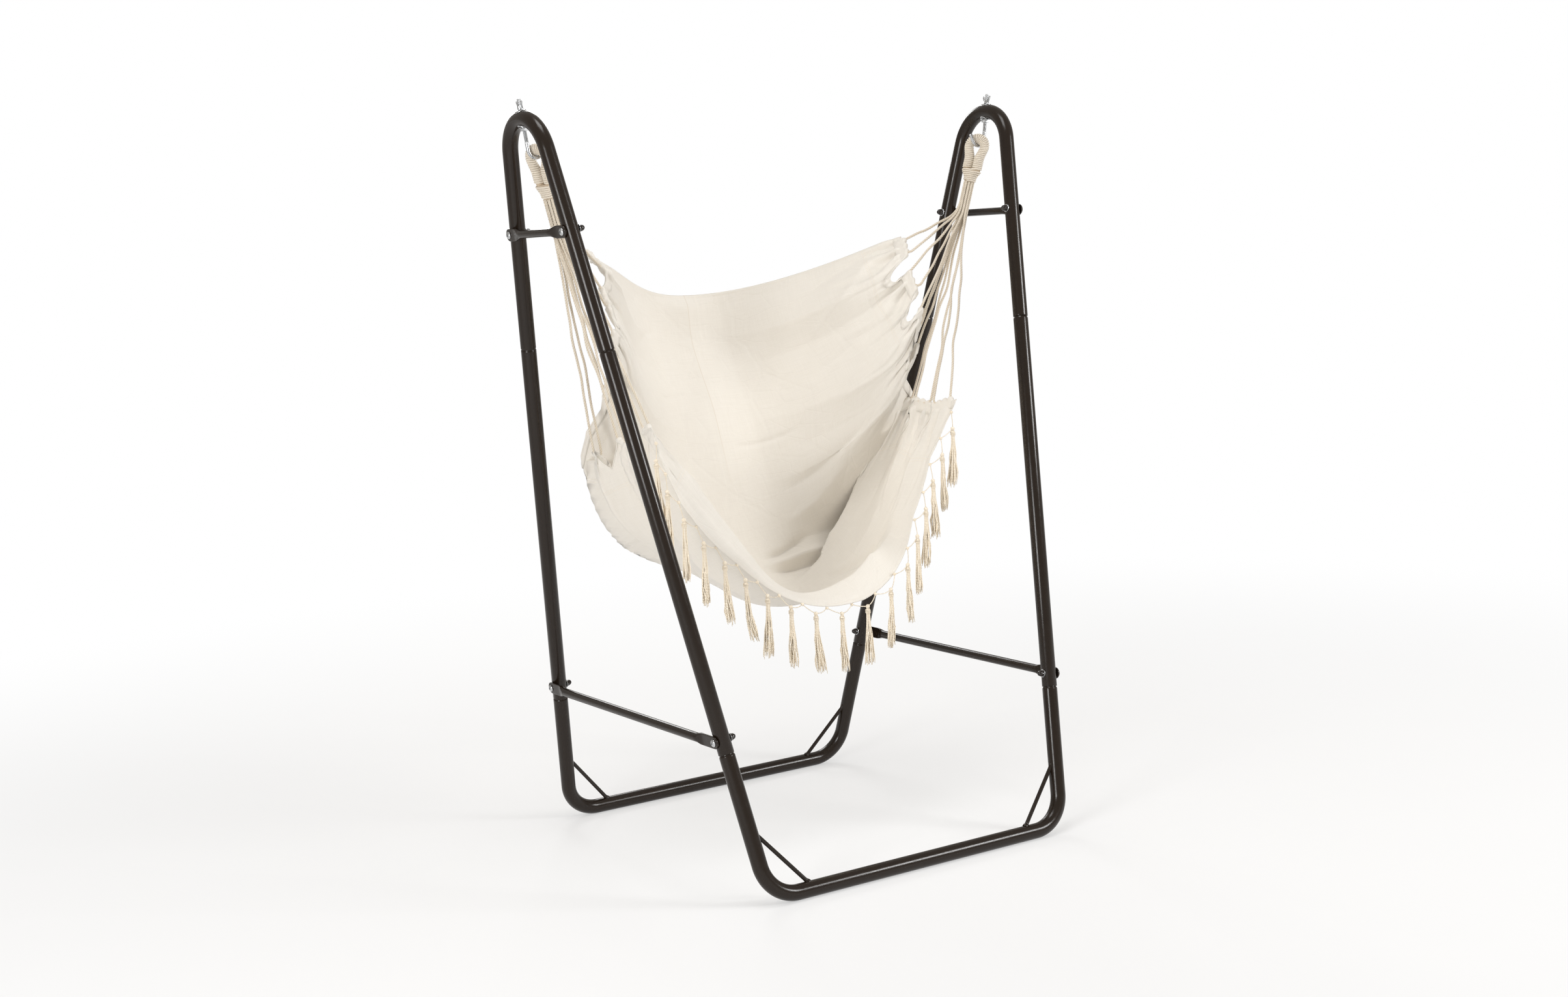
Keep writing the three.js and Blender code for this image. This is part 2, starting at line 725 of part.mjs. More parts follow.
// The sheet hangs from its tabs: a line down its middle and a curve from there to each side.
// The middle line starts at the back edge: share of the way, then x, y and drop as shares of the depth.
const middleShares = [
  [0, 0, 0.404, 0], [0.105, 0, 0.394, 0.104], [0.19, 0, 0.358, 0.179], [0.275, 0, 0.316, 0.253],
  [0.4, 0, 0.268, 0.371], [0.52, 0.003, 0.223, 0.481], [0.62, 0.008, 0.179, 0.573],
  [0.71, 0.015, 0.125, 0.639], [0.8, 0.022, 0.042, 0.671], [0.9, 0.028, -0.05, 0.671],
  [1, 0.033, -0.125, 0.654],
];

const middlePoint = ([, x, y, drop]) =>
  new Vector3(x * clothDepth, y * clothDepth, backEdgeHeight - drop * clothDepth);

function alongMiddle(v) {
  const last = middleShares.length - 1;
  let i = 0;
  while (i < last - 1 && v > middleShares[i + 1][0]) i++;
  const near = [i - 1, i, i + 1, i + 2].map((k) => middleShares[THREE.MathUtils.clamp(k, 0, last)]);
  const t = (v - near[1][0]) / (near[2][0] - near[1][0]);
  return new THREE.CatmullRomCurve3(near.map(middlePoint)).getPoint((1 + t) / 3);
}

function sideTable(side) {
  const reach = ropeDiameter / 2 + clothThickness / 2 + 3 * fitGap;
  const corners = [];
  for (let i = 0; i < tabCount; i++) {
    const tip = tabTip(side, i);
    const pull = direction(bundlePoint(side, [0, 0], bundleLength), tip);
    const run = tabRun(side, i).multiplyScalar(1.15);
    tip.addScaledVector(pull, reach / Math.sin(pull.angleTo(run)));
    corners.push([i + 0.25, tip.clone().sub(run)], [i + 0.75, tip.clone().add(run)]);
  }
  const first = corners[0][1].clone().lerp(corners[1][1], -0.2);
  const last = corners[2 * tabCount - 1][1].clone().lerp(corners[2 * tabCount - 2][1], -0.2);
  return [[0, first], ...corners, [tabCount, last]];
}

function alongSide(table, v) {
  const place = v * tabCount;
  let i = 0;
  while (i < table.length - 2 && place > table[i + 1][0]) i++;
  const share = (place - table[i][0]) / (table[i + 1][0] - table[i][0]);
  return table[i][1].clone().lerp(table[i + 1][1], share);
}

const sideTables = { [-1]: sideTable(-1), [1]: sideTable(1) };

// Point of the sheet: u from -1 at the left tabs to 1 at the right, v from the back edge to the front hem
function sheetPoint(u, v) {
  const side = u < 0 ? -1 : 1;
  const share = Math.abs(u);
  const middle = alongMiddle(v);
  const edge = alongSide(sideTables[side], v);
  const pull = direction(edge, bundlePoint(side, [0, 0], bundleLength));
  const frontPull = side > 0 ? sidePullFront : sidePull;
  const curve = new THREE.CubicBezierCurve3(
    middle,
    middle.clone().add(new Vector3(side * middlePull, 0, 0)),
    edge.clone().addScaledVector(pull, -THREE.MathUtils.lerp(sidePull, frontPull, v * v)),
    edge,
  );
  const point = curve.getPoint(share);
  const foldRow = (v - 4 / tabCount) * clothDepth;
  const grown = THREE.MathUtils.smoothstep(share, 0.15, 0.75);
  const fold = foldDepth * grown * Math.exp(-((foldRow / foldSpread) ** 2));
  return point.add(new Vector3(side * fold * 0.4, fold * 0.85, -fold * 0.2));
}

// The side edge is cut into tabs: how far it is drawn in at a notch
function notchAt(v) {
  const place = v * tabCount;
  if (place < 0.5 || place > tabCount - 0.5) return 0;
  return Math.max(1 - 4 * Math.abs(place - Math.round(place)), 0);
}

function clothGrid() {
  const rows = tabCount * rowsPerTab;
  const grid = [];
  for (let r = 0; r <= rows; r++) {
    const v = r / rows;
    const cut = (notchAt(v) * notchDepth) / (clothWidth / 2);
    const row = [];
    for (let c = 0; c <= clothColumns; c++) {
      const s = (2 * c) / clothColumns - 1;
      row.push(sheetPoint(s * (1 - cut * Math.abs(s) ** 5), v));
    }
    grid.push(row);
  }
  return grid;
}

function gridNormal(grid, r, c) {
  const rows = grid.length - 1;
  const columns = grid[0].length - 1;
  const down = direction(grid[Math.max(r - 1, 0)][c], grid[Math.min(r + 1, rows)][c]);
  const over = direction(grid[r][Math.max(c - 1, 0)], grid[r][Math.min(c + 1, columns)]);
  return over.cross(down).normalize();
}

// Two skins half a thickness either side of the grid, joined round the edge
function cloth() {
  const grid = clothGrid();
  const width = grid[0].length;
  const skin = (offset) => grid.flatMap((row, r) =>
    row.map((point, c) => point.clone().addScaledVector(gridNormal(grid, r, c), offset)));
  const points = [...skin(clothThickness / 2), ...skin(-clothThickness / 2)];
  const under = width * grid.length;
  const quads = [];
  for (let r = 0; r < grid.length - 1; r++) {
    for (let c = 0; c < width - 1; c++) {
      const a = r * width + c;
      quads.push([a, a + 1, a + width + 1, a + width]);
      quads.push([a + width + under, a + width + 1 + under, a + 1 + under, a + under]);
    }
  }
  const rim = [];
  for (let c = 0; c < width - 1; c++) rim.push(c);
  for (let r = 0; r < grid.length - 1; r++) rim.push((r + 1) * width - 1);
  for (let c = width - 1; c > 0; c--) rim.push((grid.length - 1) * width + c);
  for (let r = grid.length - 1; r > 0; r--) rim.push(r * width);
  rim.forEach((a, i) => {
    const b = rim[(i + 1) % rim.length];
    quads.push([b, a, a + under, b + under]);
  });
  const geometry = new THREE.BufferGeometry().setFromPoints(points);
  geometry.setIndex(quads.flatMap(([a, b, c, d]) => [a, b, c, a, c, d]));
  return solid(geometry);
}

// Fringe: a zigzag of netting cord knotted to the hem, with a tassel at each low point
function hemKnots() {
  const samples = Array.from({ length: 201 }, (_, i) => sheetPoint(i / 100 - 1, 1));
  const lengths = [0];
  for (let i = 1; i < samples.length; i++) lengths.push(lengths[i - 1] + samples[i].distanceTo(samples[i - 1]));
  const total = lengths[lengths.length - 1];
  const spacing = total / (tasselCount + 1);
  const outwardFromHem = netCord + fitGap;
  return Array.from({ length: tasselCount + 1 }, (_, k) => {
    const wanted = (k + 0.5) * spacing;
    const i = lengths.findIndex((length) => length >= wanted);
    const u = (i - (lengths[i] - wanted) / (lengths[i] - lengths[i - 1])) / 100 - 1;
    const hem = sheetPoint(u, 1);
    return hem.addScaledVector(direction(sheetPoint(u, 0.99), hem), outwardFromHem);
  });
}

function tasselHeads(knots) {
  return knots.slice(1).map((knot, i) => {
    const span = knot.clone().sub(knots[i]);
    const half = span.length() / 2;
    const drop = Math.sqrt(Math.max(netArm ** 2 - half ** 2, netCord ** 2));
    const down = new Vector3(0, 0, -1).addScaledVector(span, span.z / span.lengthSq()).normalize();
    const head = knots[i].clone().addScaledVector(span, 0.5).addScaledVector(down, drop);
    return head.add(new Vector3(0, -tasselHead, 0));
  });
}

function tassel(head) {
  const top = tasselHead / 2;
  const end = tasselEnd / 2;
  const waist = 0.7 * top;
  const profile = [[0, 0], [top, top], [waist, 2.4 * top], [end, tasselLength], [0, tasselLength]];
  return solid(turned(profile, 5, head.clone().add(new Vector3(0, 0, top)), new Vector3(0, 0, -1)));
}

function fringe() {
  const knots = hemKnots();
  const heads = tasselHeads(knots);
  const route = [knots[0], ...heads.flatMap((head, i) => [head, knots[i + 1]])];
  const net = solid(sweep(section(netCord / 2, 3), freeStations(route), new Vector3(0, 1, 0)));
  return heads.map(tassel).reduce((joined, next) => joined.add(next), net);
}

for (const [sideName, side] of Object.entries(sides)) {
  add(`top_arch_${sideName}`, archTube(side), powderCoat);
  add(`upper_link_${sideName}`,
    crossPiece(side, linkBoltHeight, linkWaist, linkFlatReach, linkTaper), powderCoat);
  add(`lower_spreader_${sideName}`,
    crossPiece(side, spreaderBoltHeight, spreaderDiameter, spreaderFlatReach, spreaderTaper), powderCoat);
  for (const [endName, end] of Object.entries(ends)) {
    add(`leg_tube_${endName}_${sideName}`, legTube(side, end), powderCoat);
    add(`corner_brace_${endName}_${sideName}`, cornerBrace(side, end), powderCoat);
    for (const [rowName, height] of [['upper', linkBoltHeight], ['lower', spreaderBoltHeight]]) {
      add(`bolt_${rowName}_${endName}_${sideName}`, bolt(side, end, height), zinc);
      add(`cap_nut_${rowName}_${endName}_${sideName}`, capNut(side, end, height), blackCap);
    }
  }
  add(`hook_${sideName}`, hook(side), zinc);
  add(`crown_saddle_${sideName}`, saddle(side, 1), zinc);
  add(`crown_lock_nut_${sideName}`, lockNut(side), zinc);
  add(`wing_nut_${sideName}`, wingNut(side), zinc);
  add(`rope_eye_${sideName}`, eyeCore(side), cotton);
  add(`eye_winding_${sideName}`, eyeWinding(side), cotton);
  for (let i = 0; i < tabCount; i++) add(`seat_rope_${sideName}_${i + 1}`, rope(side, i), cotton);
}
for (const [endName, end] of Object.entries(ends)) add(`base_tube_${endName}`, baseTube(end), powderCoat);
add('seat_cloth', cloth(), canvas);
add('hem_fringe', fringe(), cotton);

export default model;
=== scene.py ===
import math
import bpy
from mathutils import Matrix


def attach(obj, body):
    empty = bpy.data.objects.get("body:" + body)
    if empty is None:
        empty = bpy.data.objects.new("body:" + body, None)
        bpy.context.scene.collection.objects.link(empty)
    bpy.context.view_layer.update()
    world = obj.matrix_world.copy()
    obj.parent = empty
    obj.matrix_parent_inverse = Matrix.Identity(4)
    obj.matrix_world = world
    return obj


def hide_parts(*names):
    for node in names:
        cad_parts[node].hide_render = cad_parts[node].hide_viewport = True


bl_info = {
    "name": "Hammock Chair",
    "version": (1, 0, 0),
    "blender": (4, 5, 0),
    "location": "3D View > Sidebar > Hammock Chair",
    "description": "A fringed cotton bag seat hung on laid ropes in a steel tube stand",
    "category": "Add Mesh",
}

import bmesh
import bpy
import numpy as np
from mathutils import Matrix, Vector

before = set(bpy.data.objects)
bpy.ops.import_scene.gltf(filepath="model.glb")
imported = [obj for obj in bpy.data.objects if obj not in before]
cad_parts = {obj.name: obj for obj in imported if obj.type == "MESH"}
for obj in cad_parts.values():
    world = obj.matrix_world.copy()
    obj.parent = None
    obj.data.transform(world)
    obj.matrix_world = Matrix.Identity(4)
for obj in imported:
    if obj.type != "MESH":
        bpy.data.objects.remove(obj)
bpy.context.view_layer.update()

MM = 0.001
SIDES = {"left": -1, "right": 1}
ENDS = {"front": -1, "back": 1}

# The stand's plan, as in the part: two leaning side frames on two floor bars
BASE_WIDTH, BASE_DEPTH = 0.872, 0.993
CROWN_HEIGHT, CROWN_SPACING = 1.826, 1.371
CROWN_BEND, FLOOR_BEND = 0.098, 0.090
UPPER_JOINT, LOWER_JOINT = 1.285, 0.355
LINK_HEIGHT, SPREADER_HEIGHT = 1.564, 0.387
GUSSET_LEG, GUSSET_BAR = 0.185, 0.124
TUBE, HOOK_ROD, ROPE, WHIPPING = 0.038, 0.009, 0.0065, 0.0048
FIT = 0.0003
# Thickness of a link's flat end and of a saddle plate
FLAT_END, SADDLE = 0.005, 0.002
# The hook's rod above the crown, and its bend's place below the crown's middle and radius
ROD_ABOVE, HOOK_DROP, HOOK_BEND = 0.027, 0.074, 0.019

# The eye of the ropes and its bundle
EYE_LEAN_IN, EYE_LEAN_BACK = 0.271, 0.082
EYE_TWISTS = {-1: math.radians(-24), 1: math.radians(24)}
LIMB, EYE_DROP, NECK = 0.028, 0.065, 0.032
# How much wider and how much flatter the eye's loop is where it lies in the hook
EYE_FLARE, EYE_SQUEEZE = 0.0024, 0.0060
NECK_CORE = 0.0126
BUNDLE = 0.086
# How deep in shade the strands under the whipping lie
STRAND_SHADE = 0.75

# Where each rope turns through its sleeve (x outwards), half of the sleeve's run, and the
# places of its two legs in the bundle: distance from the middle and degrees from inwards
TAB_TIPS = {
    -1: [(462, 105, 1488), (460, 70, 1392), (458, 58, 1288), (456, 100, 1184),
         (466, 148, 1004), (452, 45, 1044), (445, -72, 1082)],
    1: [(460, 86, 1476), (457, 52, 1385), (454, 26, 1288), (452, 62, 1196),
        (458, 128, 1060), (450, 24, 1066), (442, -70, 1070)],
}
TAB_RUNS = [(-10, -20, -20), (0, -15, -26), (0, 9, -29), (-4, 22, -24),
            (22, -19, 12), (4, -29, -5), (8, -28, 8)]
BUNDLE_PLACES = [((11.9, 54), (11.9, 18)), ((11.9, -18), (5, 0)), ((11.9, -54), (5, -90)),
                 ((5, 180), (5, 90)), ((11.9, 90), (11.9, 126)), ((11.9, 162), (11.9, 198)),
                 ((11.9, 234), (11.9, 270))]
TABS = len(TAB_RUNS)
ROPE_STEP = 0.0015
# Length and size of the waves in a soft rope's legs
ROPE_WAVES = ((0.31, 0.0030), (0.14, 0.0014), (0.075, 0.0005))

# The sheet's middle line from the back edge to the front hem: share, then x, y and drop
SHEET_HALF, SHEET_DEPTH = 0.700, 1.200
BACK_EDGE = 1.377
MIDDLE = np.array([
    (0, 0, .404, 0), (.105, 0, .394, .104), (.19, 0, .358, .179), (.275, 0, .316, .253),
    (.4, 0, .268, .371), (.52, .003, .223, .481), (.62, .008, .179, .573),
    (.71, .015, .125, .639), (.8, .022, .042, .671), (.9, .028, -.05, .671),
    (1, .033, -.125, .654)])
# How far each row stays level at its middle and follows the ropes' pull at its sides
MIDDLE_PULL, SIDE_PULL, SIDE_PULL_FRONT = 0.230, 0.250, 0.380
# The seat's side panels end in a fold: where its front edge runs, how deep it goes and how wide
# it is behind and before its middle
FOLD_PLACES = np.array([0, .195, .395, .52, .67, .79, .885, 1])
FOLD_EDGES = {-1: np.array([.70, .68, .64, .625, .61, .60, .592, .59]),
              1: np.array([.745, .707, .643, .627, .613, .597, .587, .59])}
FOLD_DEPTH, FOLD_BACK, FOLD_FRONT = 0.094, 0.055, 0.0075
# How far the cuts between the tabs go in
NOTCH = 0.056
# How much the back edge is pulled up left of its middle
BACK_LIFT = 0.030
# The front hem's strip is turned up to a lip: its row, and how far it stands out along the hem
LIP_ROW = 0.915
LIP_PLACES = np.array([-1, -.95, -.8, -.5, -.2, .1, .25, .42, .6, 1])
LIP_SHIFTS = MM * np.array([
    (0, 0, 0), (12, -15, 12), (38, -52, 24), (45, -58, 12), (30, -34, 36), (16, -18, 74),
    (9, -8, 92), (3, -2, 62), (0, 0, 12), (0, 0, 0)])
# How far the hem hangs from the lofted sheet's own edge, along the hem
HEM_PLACES = np.array([-1, -.95, -.8, -.65, -.5, -.2, .1, .25, .4, .65, .85, 1])
HEM_SHIFTS = MM * np.array([
    (0, 0, 0), (-8, -8, -36), (-14, -10, -46), (-12, -8, -30), (-5, -4, -10), (0, 0, 0),
    (0, 0, 2), (-12, 6, 10), (-30, 16, 12), (-56, 29, 6), (-48, 25, 0), (0, 0, 0)])
# How deep the cuts between the tabs are on each side, as shares
NOTCH_SHARES = {-1: np.array([0, .15, .25, .7, 1, 1, 1, 0]), 1: np.array([0, 1, 1, 1, 1, 1, 1, 0])}
# Creases of the sheet on the flat: from, to, height and width
CREASES = [
    ((0.01, 0.444), (0.28, 0.424), 0.0025, 0.005), ((0.66, 0.03), (0.3, 0.12), 0.003, 0.009),
    ((0.66, 0.05), (0.36, 0.22), -0.003, 0.01), ((0.64, 0.24), (0.33, 0.3), 0.003, 0.01),
    ((0.62, 0.42), (0.34, 0.4), -0.003, 0.011), ((-0.66, 0.04), (-0.35, 0.1), 0.003, 0.009),
    ((-0.64, 0.2), (-0.3, 0.26), -0.003, 0.01), ((0.12, 0.6), (0.48, 0.52), 0.006, 0.026),
    ((0.1, 0.68), (0.42, 0.62), -0.005, 0.022), ((0.01, 0.765), (0.22, 0.725), 0.01, 0.011),
    ((0.01, 0.785), (0.22, 0.765), -0.01, 0.01), ((0.01, 0.805), (0.23, 0.805), 0.01, 0.011),
    ((0.14, 0.88), (0.41, 0.975), 0.009, 0.013), ((0.17, 0.94), (0.44, 1.03), -0.006, 0.014),
    ((-0.25, 0.3), (-0.05, 0.28), 0.0015, 0.005), ((-0.3, 0.55), (-0.1, 0.6), 0.002, 0.006),
    ((-0.2, 0.72), (-0.02, 0.78), 0.004, 0.011), ((0.6, 0.86), (0.4, 0.93), 0.004, 0.014),
    ((0.62, 1.0), (0.4, 1.05), -0.003, 0.012), ((0.2, 0.16), (0.24, 0.34), 0.0015, 0.004),
    ((-0.45, 0.95), (-0.15, 1.02), 0.004, 0.012), ((-0.12, 0.1), (-0.3, 0.18), 0.002, 0.006),
]
# The gathers behind each tab: how many, and how high
GATHERS = ((3.1, 0.0080), (5.8, 0.0056), (9.7, 0.0022))
# Half width and length of a stitch, and the seams' distances from the tabs' ends and the hems
STITCH, STITCH_LENGTH = 0.0009, 0.0036
TAB_SEAMS, HEM_SEAM = (0.100, 0.107), 0.012
TASSELS = 18
# Diameters of the netting cord, of a yarn and of the band, and length of a mesh's arm
NET_CORD, YARN, BAND = 0.0028, 0.0038, 0.0024
NET_ARM = 0.042
# Gap from the hem to its knots, how far the tassels hang before the hem, and both knots' sizes
HEM_GAP, TASSEL_FRONT = 0.0029, 0.010
HEM_KNOT, HEAD_KNOT = 0.0042, 0.0052
# Angle from each yarn of a tassel to the next
YARN_TURN = 2.39996


class StandSizes(bpy.types.PropertyGroup):
    """Sizes and finishes of the steel stand"""

    tube: bpy.props.FloatProperty(
        name="Tube", description="Outside diameter of the frame tubes",
        default=TUBE, min=0.03, max=0.05, unit="LENGTH")
    gusset: bpy.props.FloatProperty(
        name="Gusset rod", description="Diameter of the rods welded into the lower corners",
        default=0.010, min=0.006, max=0.016, unit="LENGTH")
    link: bpy.props.FloatProperty(
        name="Crown link", description="Diameter of the short link near the top of each side",
        default=0.019, min=0.012, max=0.03, unit="LENGTH")
    spreader: bpy.props.FloatProperty(
        name="Foot link", description="Diameter of the long link near the foot of each side",
        default=0.022, min=0.012, max=0.03, unit="LENGTH")
    hook: bpy.props.FloatProperty(
        name="Hook rod", description="Diameter of the bent hook rod",
        default=HOOK_ROD, min=0.006, max=0.012, unit="LENGTH")
    thread: bpy.props.FloatProperty(
        name="Thread pitch", description="Distance from thread to thread on the hook rod",
        default=0.0015, min=0.0008, max=0.003, unit="LENGTH")
    coat: bpy.props.FloatVectorProperty(
        name="Powder coat", description="Colour of the coated tubes",
        default=(0.0160, 0.0100, 0.0062), min=0, max=1, subtype="COLOR")
    zinc: bpy.props.FloatVectorProperty(
        name="Zinc", description="Colour of the plated hooks, screws and washers",
        default=(0.58, 0.59, 0.60), min=0, max=1, subtype="COLOR")
    dome: bpy.props.FloatVectorProperty(
        name="Dome nuts", description="Colour of the dark dome nuts",
        default=(0.016, 0.012, 0.010), min=0, max=1, subtype="COLOR")


class SeatSizes(bpy.types.PropertyGroup):
    """Sizes and colours of the hanging seat"""

    width: bpy.props.FloatProperty(
        name="Sheet width", description="Width of the flat sheet from tab to tab",
        default=2 * SHEET_HALF, min=1.0, max=1.8, unit="LENGTH")
    depth: bpy.props.FloatProperty(
        name="Sheet depth", description="Depth of the flat sheet from the back edge to the hem",
        default=SHEET_DEPTH, min=0.9, max=1.5, unit="LENGTH")
    cloth: bpy.props.FloatProperty(
        name="Cloth", description="Thickness of the canvas",
        default=0.0016, min=0.0005, max=0.004, unit="LENGTH")
    rope: bpy.props.FloatProperty(
        name="Rope", description="Diameter of the three-strand ropes",
        default=ROPE, min=0.004, max=0.010, unit="LENGTH")
    lay: bpy.props.FloatProperty(
        name="Rope lay", description="Length in which a strand goes once round the rope",
        default=0.020, min=0.012, max=0.05, unit="LENGTH")
    whipping: bpy.props.FloatProperty(
        name="Whipping", description="Diameter of the cord wound round the eyes",
        default=WHIPPING, min=0.003, max=0.006, unit="LENGTH")
    tassel: bpy.props.FloatProperty(
        name="Tassel", description="Length of a tassel of the fringe",
        default=0.145, min=0.05, max=0.25, unit="LENGTH")
    yarns: bpy.props.IntProperty(
        name="Yarns", description="Number of yarns in each tassel", default=22, min=8, max=40)
    canvas: bpy.props.FloatVectorProperty(
        name="Canvas", description="Colour of the cotton sheet",
        default=(0.845, 0.80, 0.725), min=0, max=1, subtype="COLOR")
    cotton: bpy.props.FloatVectorProperty(
        name="Cotton rope", description="Colour of the ropes, whipping and fringe",
        default=(0.80, 0.71, 0.57), min=0, max=1, subtype="COLOR")


class StageSizes(bpy.types.PropertyGroup):
    """Floor and light of the studio"""

    floor: bpy.props.FloatVectorProperty(
        name="Floor", description="Colour of the floor", default=(0.9, 0.9, 0.9),
        min=0, max=1, subtype="COLOR")
    light: bpy.props.FloatProperty(
        name="Light", description="Strength of all the soft lamps together",
        default=1.0, min=0.1, max=4.0, subtype="FACTOR")


def stand_sizes():
    return bpy.context.scene.hammock_stand


def seat_sizes():
    return bpy.context.scene.hammock_seat


def unit(vector):
    vector = np.asarray(vector, float)
    return vector / np.linalg.norm(vector, axis=-1, keepdims=True)


def square_to(vector, along):
    """Unit vector made square to a direction, or a row of them to a row of directions"""
    return unit(vector - (vector * along).sum(axis=-1, keepdims=True) * along)


def blend(low, high, share):
    return low + (high - low) * share


def eased(value, low, high):
    share = np.clip((value - low) / (high - low), 0, 1)
    return share * share * (3 - 2 * share)


TUBE_RADIUS = TUBE / 2
CROWN_OUT = (CROWN_SPACING - BASE_WIDTH) / 2
CROWN_REACH = math.hypot(CROWN_OUT, CROWN_HEIGHT - TUBE_RADIUS)
LEAN_X = CROWN_OUT / CROWN_REACH
LEAN_Z = (CROWN_HEIGHT - TUBE_RADIUS) / CROWN_REACH
HAIRPIN = math.hypot(BASE_DEPTH / 2, CROWN_REACH - CROWN_BEND)
HALF_ANGLE = math.acos(CROWN_BEND / HAIRPIN) - math.atan2(CROWN_REACH - CROWN_BEND, BASE_DEPTH / 2)
APEX_REACH = BASE_DEPTH / 2 / math.tan(HALF_ANGLE)


def in_frame(side, y, reach, out=0.0):
    """Point in a side frame's leaning plane, at a reach up from the floor bar's axis"""
    across = BASE_WIDTH / 2 + reach * LEAN_X + out * LEAN_Z
    return np.array([side * across, y, TUBE_RADIUS + reach * LEAN_Z - out * LEAN_X])


def outward(side):
    return np.array([side * LEAN_Z, 0, -LEAN_X])


def upward(side):
    return np.array([side * LEAN_X, 0, LEAN_Z])


def leg_point(side, end, height):
    reach = (height - TUBE_RADIUS) / LEAN_Z
    return in_frame(side, end * BASE_DEPTH / 2 * (1 - reach / APEX_REACH), reach)


def leg_rise(side, end):
    return unit(in_frame(side, 0, APEX_REACH) - in_frame(side, end * BASE_DEPTH / 2, 0))


def rounded(corners, bends, spacing):
    """Route through corners, each cut by an arc of its bend, with points at an even spacing"""
    route = [corners[0]]
    spans = np.linalg.norm(np.diff(np.array(corners), axis=0), axis=1)
    spans[1:-1] *= 0.49
    for k, bend in enumerate(bends):
        before, corner, after = corners[k:k + 3]
        back, on = unit(before - corner), unit(after - corner)
        half = math.acos(np.clip(back @ on, -1, 1)) / 2
        if half > math.pi / 2 - 0.002:
            continue
        reach = min(bend / math.tan(half), 0.98 * spans[k], 0.98 * spans[k + 1])
        centre = corner + unit(back + on) * reach / math.cos(half)
        start, stop = corner + back * reach - centre, corner + on * reach - centre
        sweep = math.pi - 2 * half
        steps = max(6, int(np.linalg.norm(start) * sweep / spacing * 2))
        for share in np.linspace(0, 1, steps + 1):
            turned = math.sin((1 - share) * sweep) * start + math.sin(share * sweep) * stop
            route.append(centre + turned / math.sin(sweep))
    route.append(corners[-1])
    return evened(np.array(route), spacing)


def measured(points):
    """Distance along a line to each of its points"""
    return np.r_[0, np.cumsum(np.linalg.norm(np.diff(points, axis=0), axis=1))]


def looked_up(wanted, places, spots):
    """Points between the spots of a table, at the wanted places"""
    return np.stack([np.interp(wanted, places, spots[:, k]) for k in range(3)], axis=1)


def evened(points, spacing):
    """The same line with its points at an even spacing"""
    steps = np.linalg.norm(np.diff(points, axis=0), axis=1)
    points = points[np.r_[True, steps > 1e-7]]
    gone = measured(points)
    count = max(2, int(round(gone[-1] / spacing)) + 1)
    return looked_up(np.linspace(0, gone[-1], count), gone, points)


def line_length(points):
    return float(np.linalg.norm(np.diff(points, axis=0), axis=1).sum())


def carried(points, first):
    """Directions along a line and beside it, carried along without twist"""
    along = unit(np.gradient(points, axis=0))
    beside = [square_to(np.asarray(first, float), along[0])]
    for k in range(1, len(points)):
        step = points[k] - points[k - 1]
        size = step @ step
        turned = beside[-1] - 2 / size * (step @ beside[-1]) * step
        ahead = along[k - 1] - 2 / size * (step @ along[k - 1]) * step
        change = along[k] - ahead
        size = change @ change
        if size > 1e-14:
            turned = turned - 2 / size * (change @ turned) * change
        beside.append(square_to(turned, along[k]))
    return along, np.array(beside)


def ring_rows(points, along, beside, wide, tall=None, sides=24, power=2.0):
    """Rings of points round a line; the section is a circle, an ellipse or a flattened oval"""
    turn = np.linspace(0, math.tau, sides, endpoint=False)
    along, beside = (np.broadcast_to(way, points.shape) for way in (along, beside))
    over = np.cross(along, beside)
    wide = np.broadcast_to(np.asarray(wide, float).reshape(-1, 1), (len(points), 1))
    tall = wide if tall is None else np.asarray(tall, float).reshape(-1, 1)
    power = np.broadcast_to(np.asarray(power, float).reshape(-1, 1), (len(points), 1))
    x = np.sign(np.cos(turn)) * np.abs(np.cos(turn)) ** (2 / power) * wide
    y = np.sign(np.sin(turn)) * np.abs(np.sin(turn)) ** (2 / power) * tall
    return points[:, None] + x[..., None] * beside[:, None] + y[..., None] * over[:, None]


def gridded(columns, rows):
    """Flat grid with its map layer, and the column and row of each of its points"""
    bm = bmesh.new()
    layer = bm.loops.layers.uv.new("flat")
    bmesh.ops.create_grid(bm, x_segments=columns, y_segments=rows, size=0.5, calc_uvs=True)
    place = np.array([vert.co[:2] for vert in bm.verts]) + 0.5
    column, row = np.rint(place * (columns, rows)).astype(int).T
    return bm, layer, column, row


def skin(rings, length=None, girth=1.0, painted_shade_depth=None):
    """Closed tube over rings: a grid takes their places, its seam is welded and its ends filled"""
    rows, sides = rings.shape[:2]
    bm, layer, column, row = gridded(sides, rows - 1)
    spots = rings[row, column % sides]
    # Each point's depth of painted shade is kept as a layer for the rope materials
    depth = None if painted_shade_depth is None else bm.verts.layers.float.new("painted_shade_depth")
    for k, vert in enumerate(bm.verts):
        vert.co = spots[k]
        if depth is not None:
            vert[depth] = painted_shade_depth[row[k], column[k] % sides]
    if length is not None:
        for face in bm.faces:
            for loop in face.loops:
                loop[layer].uv = (loop[layer].uv.x * girth, loop[layer].uv.y * length)
    seam = {r: v for v, c, r in zip(bm.verts, column, row) if c == 0}
    weld = {v: seam[r] for v, c, r in zip(bm.verts, column, row) if c == sides}
    bmesh.ops.weld_verts(bm, targetmap=weld)
    bmesh.ops.holes_fill(bm, edges=[e for e in bm.edges if e.is_boundary], sides=0)
    bmesh.ops.recalc_face_normals(bm, faces=bm.faces)
    return bm


